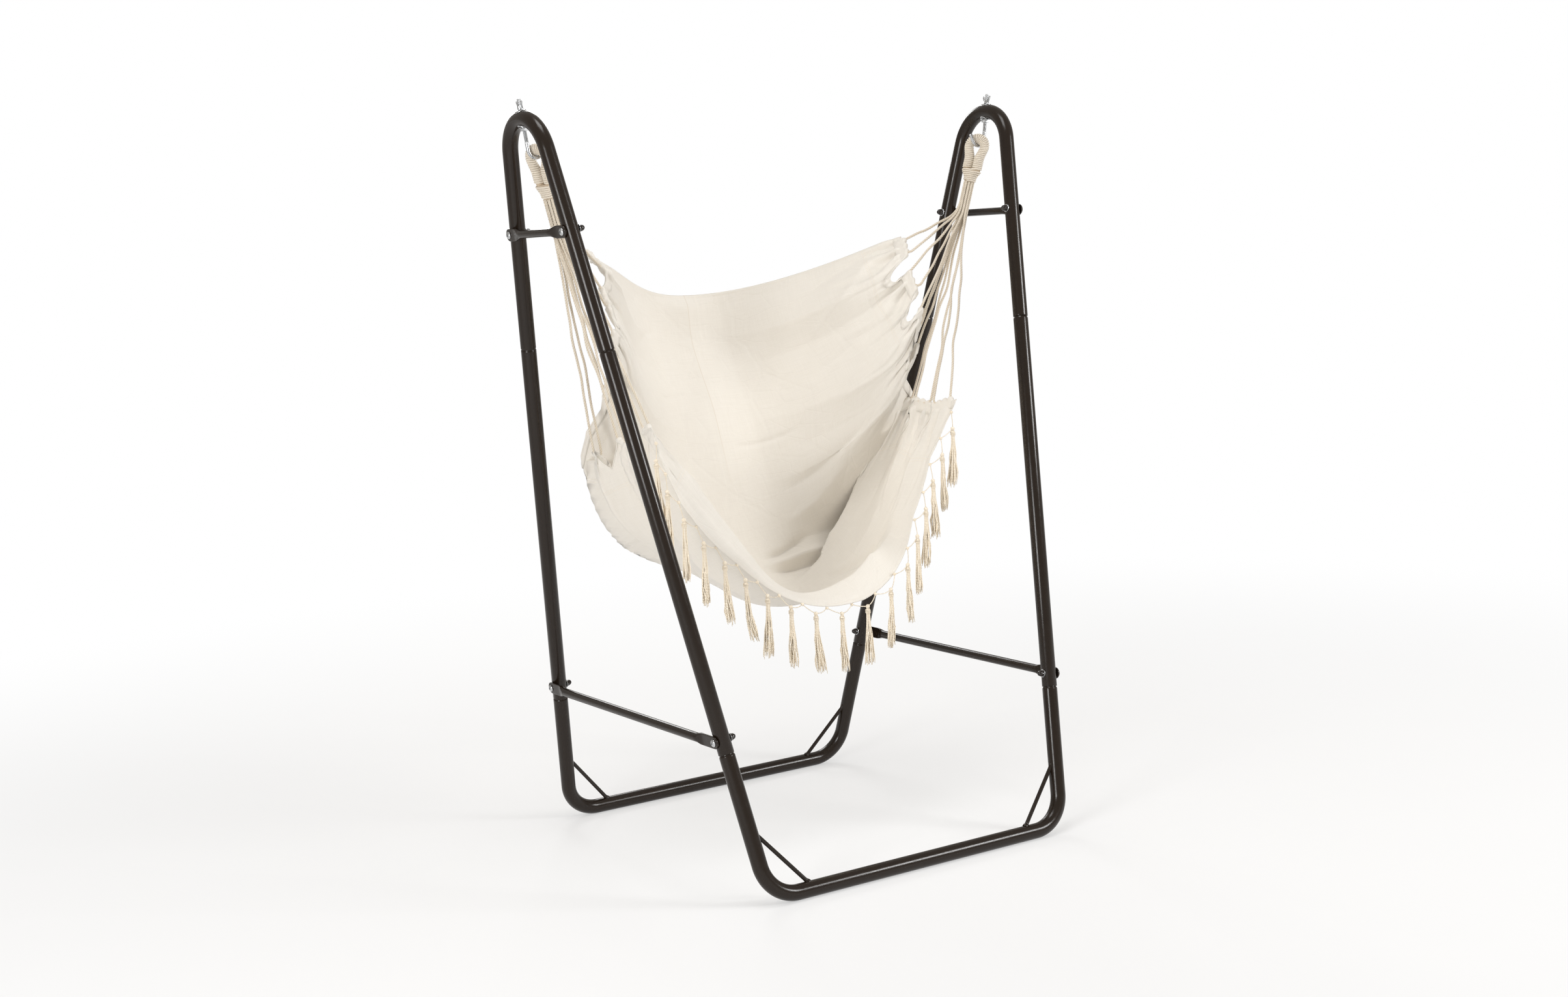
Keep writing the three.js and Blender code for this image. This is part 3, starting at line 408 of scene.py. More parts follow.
def turned(profile, steps=32):
    """Shape turned round the Z axis from (radius, height) points"""
    bm = bmesh.new()
    bm.loops.layers.uv.new("flat")
    spots = [bm.verts.new((radius, 0, height)) for radius, height in profile]
    edges = [bm.edges.new(pair) for pair in zip(spots, spots[1:])]
    bmesh.ops.spin(
        bm, geom=spots + edges, cent=(0, 0, 0), axis=(0, 0, 1), angle=math.tau,
        steps=steps, use_merge=True)
    bmesh.ops.remove_doubles(bm, verts=bm.verts, dist=1e-6)
    bmesh.ops.recalc_face_normals(bm, faces=bm.faces)
    return bm


def stood(bm, centre, axis, toward=None):
    """Moves a shape so that its Z axis points along axis, and its X axis toward a direction"""
    z = Vector(unit(axis))
    x = Vector((1, 0, 0)) if toward is None else Vector(toward)
    if abs(x.normalized().dot(z)) > 0.99:
        x = Vector((0, 1, 0))
    x = (x - z * x.dot(z)).normalized()
    turn = Matrix((x, z.cross(x), z)).transposed().to_4x4()
    bmesh.ops.transform(bm, matrix=Matrix.Translation(Vector(centre)) @ turn, verts=bm.verts)
    return bm


def painted(bm, index):
    for face in bm.faces:
        face.material_index = index
    return bm


def meshed(name, bm):
    mesh = bpy.data.meshes.new(name)
    bm.to_mesh(mesh)
    bm.free()
    return mesh


def placed(name, data):
    """New object with the given data, in the scene"""
    thing = bpy.data.objects.new(name, data)
    bpy.context.scene.collection.objects.link(thing)
    return thing


def joined(parts):
    """One mesh of several"""
    whole = bmesh.new()
    for part in parts:
        mesh = meshed("part", part)
        whole.from_mesh(mesh)
        bpy.data.meshes.remove(mesh)
    return whole


def fitted(name, bm, materials, body, node, crease=None):
    """Makes a named and finished piece of a mesh, riding on its body and standing for its node"""
    mesh = meshed(name, bm)
    piece = placed(name, mesh)
    for material in materials:
        mesh.materials.append(material)
    mesh.shade_smooth()
    if crease:
        mesh.set_sharp_from_angle(angle=math.radians(crease))
    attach(piece, body)
    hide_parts(node)
    return piece


def of_cotton(name, bm, node, material):
    return fitted(name, bm, [material], "hammock", node)


def coated(name, bm, node, crease=35):
    """Piece of the stand with the satin powder coat"""
    return fitted(name, bm, [found("satin powder coat", powder_coat)], "stand", node,
                  crease)


def plated(name, bm, node, crease=30):
    """Piece of the stand in bright zinc"""
    return fitted(name, bm, [found("bright zinc", bright_zinc)], "stand", node, crease)


def operator_of(operation, swapped=False):
    """Operator of a wire and another wire or value, as one Math node"""
    def made(self, other):
        return self.math(operation, *((other, self) if swapped else (self, other)))
    return made


class Wire:
    """A socket of a material's nodes; sums and products of wires add Math nodes"""

    def __init__(self, tree, socket=None):
        self.tree = tree
        self.socket = socket

    def node(self, kind, settings=None, inputs=None, out=0):
        """Adds a node with its settings and the values or links of its sockets"""
        node = self.tree.nodes.new(kind)
        for name, value in (settings or {}).items():
            setattr(node, name, value)
        for name, value in (inputs or {}).items():
            if isinstance(value, Wire):
                self.tree.links.new(value.socket, node.inputs[name])
            else:
                node.inputs[name].default_value = value
        return Wire(self.tree, node.outputs[out] if len(node.outputs) else None)

    def math(self, operation, *values):
        return self.node("ShaderNodeMath", {"operation": operation}, dict(enumerate(values)))

    __add__ = __radd__ = operator_of("ADD")
    __sub__, __rsub__ = operator_of("SUBTRACT"), operator_of("SUBTRACT", True)
    __mul__ = __rmul__ = operator_of("MULTIPLY")
    __truediv__, __rtruediv__ = operator_of("DIVIDE"), operator_of("DIVIDE", True)
    __pow__ = operator_of("POWER")

    def place(self):
        """Place on the piece, in metres"""
        return self.node("ShaderNodeTexCoord", out="Object")

    def flat(self):
        """Place on the piece's flat map, in metres"""
        return self.node("ShaderNodeUVMap", {"uv_map": "flat"})

    def rays(self, *kinds):
        """One where a ray is of a kind, for each of the kinds"""
        path = self.node("ShaderNodeLightPath").socket.node
        return [Wire(self.tree, path.outputs[f"Is {kind} Ray"]) for kind in kinds]

    def wave(self):
        return self.math("SINE", self)

    def size(self):
        return self.math("ABSOLUTE", self)

    def between(self, low, high, start=0.0, stop=1.0):
        """Goes smoothly from start to stop while the value goes from low to high"""
        given = {"Value": self, "From Min": low, "From Max": high, "To Min": start, "To Max": stop}
        return self.node("ShaderNodeMapRange", {"interpolation_type": "SMOOTHSTEP"}, given)

    def bump_of(self, place, width):
        """One near a place and nothing a few widths away from it"""
        away = (self - place) / width
        return self.math("EXPONENT", away * away * -1)

    def mixed(self, first, second):
        """A colour between two, with this value as the share of the second"""
        settings = {"data_type": "RGBA", "clamp_factor": True}
        return self.node("ShaderNodeMix", settings, {0: self, 6: first, 7: second}, 2)

    def parts(self):
        """The x, y and z of a vector"""
        split = self.node("ShaderNodeSeparateXYZ", None, {0: self}).socket.node
        return [Wire(self.tree, split.outputs[k]) for k in range(3)]

    def stretched(self, scale):
        return self.node(
            "ShaderNodeVectorMath", {"operation": "MULTIPLY"}, {0: self, 1: scale})

    def voronoi(self, scale):
        """Distance to the nearest border of random cells"""
        given = {"Vector": self, "Scale": scale}
        return self.node("ShaderNodeTexVoronoi", {"feature": "DISTANCE_TO_EDGE"}, given)

    def noise(self, scale, detail=2.0, rough=0.5, distort=0.0):
        given = {"Vector": self, "Scale": scale, "Detail": detail, "Roughness": rough,
                 "Distortion": distort}
        return self.node("ShaderNodeTexNoise", None, given)


def colour(value, share=1.0):
    """A colour times one share, or times a share each of red, green and blue"""
    return (*np.multiply(tuple(value), share), 1.0)


def finish(name, values, relief, depth, strength):
    """Material with a principled shader from the given values or wires, and a relief as its bump"""
    material = bpy.data.materials[name]
    bench = Wire(material.node_tree)
    bump = {"Strength": strength, "Distance": depth, "Height": relief}
    values["Normal"] = bench.node("ShaderNodeBump", None, bump)
    shader = bench.node("ShaderNodeBsdfPrincipled", None, values)
    bench.node("ShaderNodeOutputMaterial", None, {"Surface": shader})
    return material


def bench_of(owner):
    """Bare node bench of a new material or world"""
    owner.use_nodes = True
    owner.node_tree.nodes.clear()
    return Wire(owner.node_tree)


def found(name, maker):
    return bpy.data.materials.get(name) or maker(name)


def powder_coat(name="satin powder coat"):
    bench = bench_of(bpy.data.materials.new(name))
    tone = stand_sizes().coat
    place = bench.place()
    cloud = place.noise(9.0, 3.0)
    peel = place.noise(900.0, 1.0)
    dust = place.noise(60.0, 4.0, 0.7)
    values = {
        "Base Color": cloud.mixed(colour(tone, 0.88), colour(tone, 1.12)),
        "Roughness": dust.between(0.3, 0.7, 0.17, 0.25),
        "Specular IOR Level": 0.34,
    }
    return finish(name, values, peel, 0.00012, 0.35)


def bright_zinc(name="bright zinc"):
    bench = bench_of(bpy.data.materials.new(name))
    tone = stand_sizes().zinc
    place = bench.place()
    bloom = place.noise(160.0, 4.0, 0.6)
    grain = place.noise(2500.0, 2.0)
    values = {
        "Base Color": bloom.mixed(colour(tone, 0.82), colour(tone, 1.15)),
        "Metallic": 1.0,
        "Roughness": bloom.between(0.3, 0.7, 0.20, 0.36),
    }
    return finish(name, values, grain, 0.00003, 0.3)


def dome_enamel(name="dark dome enamel"):
    bench = bench_of(bpy.data.materials.new(name))
    tone = stand_sizes().dome
    place = bench.place()
    cloud = place.noise(220.0, 2.0)
    values = {
        "Base Color": cloud.mixed(colour(tone, 0.8), colour(tone, 1.3)),
        "Roughness": cloud.between(0.3, 0.7, 0.14, 0.22),
    }
    return finish(name, values, cloud, 0.00002, 0.3)


def laid_cotton(name="laid cotton"):
    """Rope: pale crowns and painted warm shade in the grooves between strands, with the yarns of
    each strand as fine slanting ribs
    """
    bench = bench_of(bpy.data.materials.new(name))
    tone = seat_sizes().cotton
    around, ahead, _ = bench.flat().parts()
    painted_shade_depth = bench.node("ShaderNodeAttribute", {"attribute_name": "painted_shade_depth"}, out="Fac")
    place = bench.place()
    ribs = ((around * 4800.0) + (ahead * 2600.0)).wave()
    fluff = place.noise(1400.0, 3.0, 0.7)
    cloud = place.noise(14.0, 2.0)
    pale = cloud.mixed(colour(tone, 0.98), colour(tone, (1.12, 1.16, 1.26)))
    # Painted shade: the deep colour darkens the grooves between strands and the strands under the
    # whipping, by each point's painted shade depth
    deep = colour(tone, (0.62, 0.5, 0.36))
    shade = painted_shade_depth.between(0.35, 1.0, 0.0, 0.85) + (fluff - 0.5) * 0.25
    values = {"Base Color": shade.mixed(pale, deep), "Roughness": 0.88, "Sheen Weight": 0.25}
    return finish(name, values, ribs * 0.5 + fluff, 0.0004, 0.6)


def canvas(name="cotton canvas"):
    """Sheet: a plain weave with slubs, two rows of stitches behind the tabs and at the hems, and
    painted shade along the seams' dents and the middle crease
    """
    bench = bench_of(bpy.data.materials.new(name))
    sizes = seat_sizes()
    tone = sizes.canvas
    flat = bench.flat()
    across, ahead, _ = flat.parts()
    weave = (across * 5200.0).wave() * (ahead * 5200.0).wave()
    slub = flat.stretched((14.0, 420.0, 1.0)).noise(1.0, 3.0, 0.6)
    warp = flat.stretched((420.0, 14.0, 1.0)).noise(1.0, 3.0, 0.6)
    cloud = flat.noise(5.0, 3.0)
    crumple = flat.noise(16.0, 4.0, 0.6, 1.2)
    fine_press = flat.stretched((1.0, 2.2, 1.0)).voronoi(9.0).between(0.0, 0.04)
    press = flat.voronoi(5.5).between(0.0, 0.05) + fine_press * 0.5
    valley = across.size().math("MINIMUM", across.size(), 0.035) * ahead.between(0.85, 0.45)
    half = sizes.width / 2
    from_edge = half - across.size()
    from_hem = sizes.depth / 2 - (ahead - sizes.depth / 2).size()
    dash = (ahead * (math.tau / STITCH_LENGTH)).wave().between(-0.4, 0.2)
    seam = from_edge.bump_of(TAB_SEAMS[0], STITCH) + from_edge.bump_of(TAB_SEAMS[1], STITCH)
    dash_hem = (across * (math.tau / STITCH_LENGTH)).wave().between(-0.4, 0.2)
    seam_hem = from_hem.bump_of(HEM_SEAM, STITCH)
    thread = seam * dash + seam_hem * dash_hem
    ply = from_edge.between(0.104, 0.1015) + from_hem.between(0.0145, 0.0125)
    tint = (slub - 0.5) * 0.9 + (warp - 0.5) * 0.9 + (cloud - 0.5) * 0.7 + 0.5
    body = tint.mixed(colour(tone, 0.95), colour(tone, (1.03, 1.04, 1.06)))
    # Fine line down the middle crease, darkened as painted shade
    line = across.bump_of(0.0, 0.0011) * ahead.between(0.62, 0.35)
    dent = seam + seam_hem
    # Painted shade colour for the seams' dents and the middle crease
    painted_crease_shade = colour(tone, (0.72, 0.62, 0.48))
    stitched = (dent * 0.22 + line * 0.30).mixed(body, painted_crease_shade)
    threaded = (thread * 0.8).mixed(stitched, colour(tone, 1.1))
    values = {"Base Color": threaded, "Roughness": 0.86, "Sheen Weight": 0.2}
    relief = weave * 0.10 + slub * 0.35 + warp * 0.3 + crumple * 1.6
    relief = relief + ply * 0.7 + thread * 0.5 - dent * 0.6 + press * 0.9 + valley * 95.0
    return finish(name, values, relief, 0.0011, 0.55)


def fringe_cotton(name="fringe cotton"):
    """Loose yarn: soft, a little paler than the rope, with a slow twist"""
    bench = bench_of(bpy.data.materials.new(name))
    tone = seat_sizes().cotton
    around, ahead, _ = bench.flat().parts()
    place = bench.place()
    twist = ((around * 1400.0) + (ahead * 900.0)).wave()
    fluff = place.noise(1100.0, 3.0, 0.7)
    cloud = place.noise(30.0, 3.0)
    pale = cloud.mixed(colour(tone, 1.16), colour(tone, (1.18, 1.22, 1.30)))
    # Painted shade: the colour darkens towards deep along the twist's grooves; the fluff adds
    # random tone
    deep = colour(tone, (1.02, 0.93, 0.80))
    shade = (twist * 0.12 + 0.1) + (fluff - 0.5) * 0.5
    values = {"Base Color": shade.mixed(pale, deep), "Roughness": 0.9, "Sheen Weight": 0.25}
    return finish(name, values, twist * 0.6 + fluff, 0.0004, 0.6)


def eye_axis(side):
    return unit([-side * EYE_LEAN_IN, EYE_LEAN_BACK, -1])


def bight(side):
    """Lowest point of the hook's bend, where the eye hangs"""
    pull = unit([-side * EYE_LEAN_IN, 0, -1])
    return in_frame(side, 0, CROWN_REACH - HOOK_DROP, -HOOK_BEND) + pull * HOOK_BEND


SLANT_ROD = HOOK_ROD / 2 / math.cos(EYE_TWISTS[1])
EYE_ARC = SLANT_ROD + 6 * FIT + LIMB / 2
EYE_SAG = EYE_ARC - (LIMB + HOOK_ROD) / 2 - FIT
LIMB_SPREAD = LIMB / 2 + FIT


def eye_centre(side, along=0.0):
    return bight(side) + eye_axis(side) * (EYE_SAG + along)


def eye_directions(side):
    """Along the eye, across it from limb to limb, and through its slit"""
    along = eye_axis(side)
    twist = EYE_TWISTS[side]
    across = square_to(np.array([side * math.sin(twist), -math.cos(twist), 0]), along)
    return along, across, np.cross(along, across) * side


def eye_line(side, gone):
    """Place on the loop's middle line, up one limb, over the hook and down the other, and its
    outward direction and how much it is squeezed there"""
    along, across, _ = eye_directions(side)
    arc = math.pi * EYE_ARC
    angle = min(max((gone - EYE_DROP) / EYE_ARC, 0), math.pi)
    past = max(EYE_DROP - gone, gone - EYE_DROP - arc, 0)
    flared = EYE_ARC + EYE_FLARE
    wide = flared + (LIMB_SPREAD - flared) * eased(past, 0, EYE_DROP * 0.55)
    point = eye_centre(side, past - math.sin(angle) * EYE_ARC) - across * math.cos(angle) * wide
    out = -across * math.cos(angle) - along * math.sin(angle)
    squeeze = EYE_SQUEEZE * (1 - eased(past, 0, EYE_DROP / 2))
    return point, out, squeeze


def neck_size(share):
    core = LIMB / 2 - WHIPPING
    wide = blend(LIMB_SPREAD + core, NECK_CORE, eased(share, 0, 0.7))
    return wide, blend(1.5 * core, NECK_CORE, share)


def bundle_point(side, place, drop):
    ring, degrees = place
    along = eye_axis(side)
    inward = square_to(np.array([-side, 0.0, 0.0]), along)
    back = side * np.cross(along, inward)
    angle = math.radians(degrees)
    middle = eye_centre(side, EYE_DROP + NECK) + along * drop
    return middle + (inward * math.cos(angle) + back * math.sin(angle)) * ring * MM


def tab_run(side, tab):
    x, y, z = TAB_RUNS[tab]
    return np.array([side * x, y, z]) * MM


def tab_tip(side, tab):
    x, y, z = TAB_TIPS[side][tab]
    return np.array([side * x, y, z]) * MM


def rope_route(side, tab):
    """Down from the bundle, through the tab's sleeve and up again"""
    tip, run = tab_tip(side, tab), tab_run(side, tab)
    first, second = BUNDLE_PLACES[tab]
    corners = [
        bundle_point(side, first, FIT), bundle_point(side, first, BUNDLE), tip - run,
        tip + run, bundle_point(side, second, BUNDLE), bundle_point(side, second, FIT)]
    route = rounded(corners, [0.070, 0.014, 0.014, 0.070], ROPE_STEP)
    return wavy(route, side, tab, corners)


def wavy(route, side, tab, corners):
    """Gives each leg the slow waves of a soft rope, none in the bundle and none in the sleeve"""
    seed = np.random.default_rng(40 + 10 * tab + side)
    gone = measured(route)
    legs = [np.linalg.norm(corners[2] - corners[0]), np.linalg.norm(corners[3] - corners[5])]
    shift = np.zeros_like(route)
    still_above, still_both = 0.11, 0.135
    for leg, measure in ((legs[0], gone), (legs[1], gone[-1] - gone)):
        share = np.clip((measure - still_above) / (leg - still_both), 0, 1)
        strength = np.where(share < 1, np.sin(math.pi * share) ** 1.5, 0)
        for wavelength, size in ROPE_WAVES:
            for axis in range(3):
                turn = math.tau * measure / wavelength + seed.uniform(0, math.tau)
                shift[:, axis] += strength * size * np.sin(turn)
    return evened(route + shift, ROPE_STEP)


def laid_skin(route, diameter, lay, strands=3, sides=15, phase=0.0):
    """Rope of twisted strands along a route, with sharp grooves between them"""
    along, beside = carried(route, (0, 1, 0))
    over = np.cross(along, beside)
    gone = measured(route)
    turn = np.linspace(0, math.tau, sides, endpoint=False)
    lobe = (turn * strands / math.tau + 0.5) % 1 - 0.5
    crown = np.cos(math.pi * lobe)
    reach = diameter / 2 * (0.74 + 0.33 * crown)
    angle = turn[None] + (math.tau * gone / lay)[:, None] + phase
    radial = np.cos(angle)[..., None] * beside[:, None] + np.sin(angle)[..., None] * over[:, None]
    rings = route[:, None] + radial * reach[None, :, None]
    # Painted shade: the grooves between strands get the most, the crowns none
    painted_shade_depth = np.broadcast_to(1 - crown, rings.shape[:2])
    return skin(rings, gone[-1], math.pi * diameter, painted_shade_depth)


def stitched_edge(side):
    """Corners of the sheet's side edge: each tab's edge lies beside its rope's run"""
    reach = ROPE / 2 + 0.003 / 2 + 3 * FIT
    corners = []
    for tab in range(TABS):
        tip = tab_tip(side, tab)
        pull = unit(tip - bundle_point(side, (0, 0), BUNDLE))
        run = tab_run(side, tab) * 1.15
        angle = math.acos(np.clip(pull @ unit(run), -1, 1))
        tip = tip + pull * reach / math.sin(angle)
        corners += [(tab + 0.25, tip - run), (tab + 0.75, tip + run)]
    first = blend(corners[0][1], corners[1][1], -0.2)
    last = blend(corners[-1][1], corners[-2][1], -0.2)
    table = [(0.0, first)] + corners + [(float(TABS), last)]
    return np.array([place for place, _ in table]), np.array([spot for _, spot in table])


def middle_line(v):
    """Smooth line down the sheet's middle through the rows of the table"""
    spots = np.array([0, 0, BACK_EDGE]) + SHEET_DEPTH * MIDDLE[:, 1:] * np.array([1, 1, -1])
    shares = MIDDLE[:, 0]
    seg = np.clip(np.searchsorted(shares, v, side="right") - 1, 0, len(shares) - 2)
    t = ((v - shares[seg]) / (shares[seg + 1] - shares[seg]))[:, None]
    p0, p1 = spots[np.maximum(seg - 1, 0)], spots[seg]
    p2, p3 = spots[seg + 1], spots[np.minimum(seg + 2, len(shares) - 1)]

    def knot(a, b):
        return (((b - a) ** 2).sum(axis=1, keepdims=True)) ** 0.25
    d0, d1, d2 = knot(p0, p1), knot(p1, p2), knot(p2, p3)
    d0, d2 = np.where(d0 < 1e-5, d1, d0), np.where(d2 < 1e-5, d1, d2)
    m1 = ((p1 - p0) / d0 - (p2 - p0) / (d0 + d1) + (p2 - p1) / d1) * d1
    m2 = ((p2 - p1) / d1 - (p3 - p1) / (d1 + d2) + (p3 - p2) / d2) * d1
    bend = -3 * p1 + 3 * p2 - 2 * m1 - m2
    return p1 + m1 * t + bend * t ** 2 + (2 * p1 - 2 * p2 + m1 + m2) * t ** 3


def sheet_points(u, v):
    """Points of the hanging sheet: u from -1 at the left tabs to 1 at the right, v from the back
    edge to the front hem; both are rows of numbers"""
    middle = middle_line(v)
    side = np.where(u < 0, -1.0, 1.0)
    edge = np.zeros((len(u), 3))
    pull = np.zeros((len(u), 3))
    for s in (-1, 1):
        places, spots = stitched_edge(s)
        here = side == s
        at = looked_up(v[here] * TABS, places, spots)
        edge[here] = at
        pull[here] = unit(bundle_point(s, (0, 0), BUNDLE) - at)
    front = np.where(side > 0, SIDE_PULL_FRONT, SIDE_PULL)
    start = np.where(side > 0, SIDE_PULL, blend(SIDE_PULL * 0.45, SIDE_PULL, eased(v, 0, 0.3)))
    hold = blend(start, front, v * v)[:, None]
    share = np.abs(u)[:, None]
    near = middle + side[:, None] * np.array([MIDDLE_PULL, 0, 0])
    far = edge - pull * hold
    rest = 1 - share
    point = rest ** 3 * middle + 3 * rest ** 2 * share * near
    point = point + 3 * rest * share ** 2 * far + share ** 3 * edge
    lift = BACK_LIFT * np.exp(-((u + 0.45) / 0.27) ** 2) * (1 - eased(v, 0, 0.16))
    return point + folded(u, v, side) + lipped(u, v) + lift[:, None] * np.array([0, 0, 1.0])


def folded(u, v, side):
    """Shift of the deep fold behind each side panel, none inside the tabs' sleeves"""
    reach = np.abs(u)
    crease = np.where(side < 0, np.interp(reach, FOLD_PLACES, FOLD_EDGES[-1]),
                      np.interp(reach, FOLD_PLACES, FOLD_EDGES[1]))
    row = (v - crease) * SHEET_DEPTH + 0.020
    wide = np.where(row < 0, FOLD_BACK, FOLD_FRONT)
    depth = np.exp(-(row / wide) ** 2) * eased(reach, 0.04, 0.44)
    tabs = eased(np.abs((v - 4 / TABS) * SHEET_DEPTH), 0.028, 0.044) * eased(reach, 0.82, 0.97)
    way = np.where(side[:, None] > 0, np.array([0.95, 0.28, -0.15]), np.array([-0.5, 0.8, -0.2]))
    return (FOLD_DEPTH * depth * (1 - tabs))[:, None] * way


def lipped(u, v):
    """Shift of the front strip: nothing at the hem, most at the lip, and soon nothing behind it"""
    away = np.sqrt((v - LIP_ROW) ** 2 + 0.005 ** 2) - 0.005
    share = np.where(v < LIP_ROW, np.exp(-away / 0.045), np.clip(1 - away / 0.080, 0, 1))
    low = np.where(u < 0, eased(v, 0.90, 1), eased(v, 0.72, 1))
    lip = looked_up(u, LIP_PLACES, LIP_SHIFTS) * share[:, None]
    return lip + looked_up(u, HEM_PLACES, HEM_SHIFTS) * low[:, None]


def notch_cut(v, side):
    """How far the edge is drawn in between two tabs, in metres"""
    place = v * TABS
    away = np.abs(place - np.round(place)) * np.where((side < 0) & (place < 3.5), 6.5, 4)
    inner = (place > 0.5) & (place < TABS - 0.5) & (away < 1)
    pointed = (side < 0) & (np.round(place) >= 5)
    curve = np.where(pointed, 1 - away, (1 - np.minimum(away, 1) ** 2.4) ** 0.8)
    depth = NOTCH_SHARES[-1 if side < 0 else 1][np.round(place).astype(int)]
    return np.where(inner, NOTCH * curve * depth, 0)


class HAMMOCK_OT_stage(bpy.types.Operator):
    """Set the floor, the soft studio light and the camera"""

    bl_idname = "hammock.stage"
    bl_label = "Stage"

    def execute(self, context):
        add_camera()
        add_floor()
        add_lamps()
        return {"FINISHED"}


def add_camera():
    yaw, pitch, roll = (math.radians(a) for a in (32.70, 7.198, -3.039))
    level = Vector((math.cos(yaw), -math.sin(yaw), 0))
    forward = Vector((math.sin(yaw), math.cos(yaw), 0))
    ahead = forward * math.cos(pitch) - Vector((0, 0, math.sin(pitch)))
    above = level.cross(ahead)
    right = math.cos(roll) * level + math.sin(roll) * above
    up = -math.sin(roll) * level + math.cos(roll) * above
    data = bpy.data.cameras.new("camera")
    data.sensor_width = 36
    data.lens = 47.44
    data.clip_end = 60
    camera = placed("camera", data)
    turn = Matrix((right, up, -ahead)).transposed().to_4x4()
    camera.matrix_world = Matrix.Translation((-2.8458, -4.4014, 1.5219)) @ turn
    bpy.context.scene.camera = camera


def add_floor():
    sizes = bpy.context.scene.hammock_stage
    bm = bmesh.new()
    bmesh.ops.create_circle(bm, cap_ends=True, radius=120, segments=96)
    mesh = meshed("studio_floor", bm)
    floor = placed("studio_floor", mesh)
    mesh.materials.append(bpy.data.materials.new("pale floor"))
    bench = bench_of(mesh.materials[0])
    place = bench.place()
    dust = place.noise(3.0, 2.0)
    tone = dust.mixed(colour(sizes.floor, 0.99), colour(sizes.floor, 1.01))
    matt = bench.node("ShaderNodeBsdfDiffuse", None, {"Color": tone})
    glow = bench.node("ShaderNodeEmission", None, {"Color": (1, 1, 1, 1), "Strength": 1.0})
    camera, glossy, clear = bench.rays("Camera", "Glossy", "Transmission")
    x, y, _ = place.parts()
    away = ((x * x) + (y * y)) ** 0.5
    shown = camera * away.between(0.6, 4.5, 0.45, 1.0) + (glossy + clear) * 0.4
    both = bench.node("ShaderNodeMixShader", None, {0: shown, 1: matt, 2: glow})
    bench.node("ShaderNodeOutputMaterial", None, {"Surface": both})


def add_lamps():
    scene = bpy.context.scene
    level = scene.hammock_stage.light
    world = bpy.data.worlds.new("studio")
    scene.world = world
    bench = bench_of(world)
    camera, clear = bench.rays("Camera", "Transmission")
    fill = 0.46 * level
    strength = (camera + clear) * (1 - fill) + fill
    tone = camera.mixed((1.0, 0.957, 0.90, 1.0), (1.0, 1.0, 1.0, 1.0))
    back = bench.node("ShaderNodeBackground", None, {"Color": tone, "Strength": strength})
    bench.node("ShaderNodeOutputWorld", None, {"Surface": back})
    lamps = [
        ("key lamp", (3.6, -4.5, 3.0), 1.5, 148),
        ("side lamp", (-4.4, -2.2, 1.7), 1.4, 86),
        ("back lamp", (1.2, 4.0, 3.0), 1.6, 52),
        ("top lamp", (-0.6, -0.6, 4.4), 1.4, 38),
    ]
    for name, place, width, power in lamps:
        data = bpy.data.lights.new(name, "AREA")
        data.shape = "SQUARE"
        data.size = width
        data.energy = power * level
        lamp = placed(name, data)
        lamp.location = place
        aim = Vector((0, 0, 0.9)) - Vector(place)
        lamp.rotation_euler = aim.to_track_quat("-Z", "Y").to_euler()
    scene.view_settings.view_transform = "Standard"


class HAMMOCK_OT_ropes(bpy.types.Operator):
    """Lay the fourteen ropes from the eyes through the sleeves of the sheet"""

    bl_idname = "hammock.ropes"
    bl_label = "Ropes"

    def execute(self, context):
        sizes = seat_sizes()
        cotton = found("laid cotton", laid_cotton)
        for name, side in SIDES.items():
            for tab in range(TABS):
                route = rope_route(side, tab)
                bm = laid_skin(route, sizes.rope, sizes.lay, phase=tab)
                tag = f"{name}_{tab + 1}"
                piece = of_cotton(f"laid_rope_{tag}", bm, f"seat_rope_{tag}", cotton)
        return {"FINISHED"}


class HAMMOCK_OT_eyes(bpy.types.Operator):
    """Make the eyes of the ropes and wind their whipping"""

    bl_idname = "hammock.eyes"
    bl_label = "Rope eyes"

    def execute(self, context):
        cotton = found("laid cotton", laid_cotton)
        for name, side in SIDES.items():
            of_cotton(f"eye_strands_{name}", eye_strands(side), f"rope_eye_{name}", cotton)
            of_cotton(f"eye_whipping_{name}", eye_whipping(side), f"eye_winding_{name}", cotton)
        return {"FINISHED"}


def eye_strands(side):
    """The looped strands under the whipping, and the neck that closes them to a bundle"""
    along, across, through = eye_directions(side)
    cord = seat_sizes().whipping
    total = math.pi * EYE_ARC + 2 * EYE_DROP
    shares = np.linspace(0, 1, 65)
    laid = [eye_line(side, share * total) for share in shares]
    points = np.array([point for point, _, _ in laid])
    squeeze = np.array([less for _, _, less in laid])
    core = LIMB / 2 - cord * 0.8
    ahead = unit(np.gradient(points, axis=0))
    rings = ring_rows(points, ahead, square_to(through, ahead), core - squeeze, core, 24)
    # Painted shade: the strands under the whipping are darkened evenly by STRAND_SHADE
    loop = skin(rings, total, 0.06, np.full(rings.shape[:2], STRAND_SHADE))
    shares = np.linspace(0, 1, 24)
    sizes = np.array([neck_size(share) for share in shares])
    drops = EYE_DROP - 0.0014 + shares * (NECK + 0.0016)
    spots = np.array([eye_centre(side, drop) for drop in drops])
    wide, deep = sizes.T + 0.0008
    rings = ring_rows(spots, along, across, wide, deep, 32)
    neck = skin(rings, NECK, 0.1, np.full(rings.shape[:2], STRAND_SHADE))
    return joined([loop, neck])


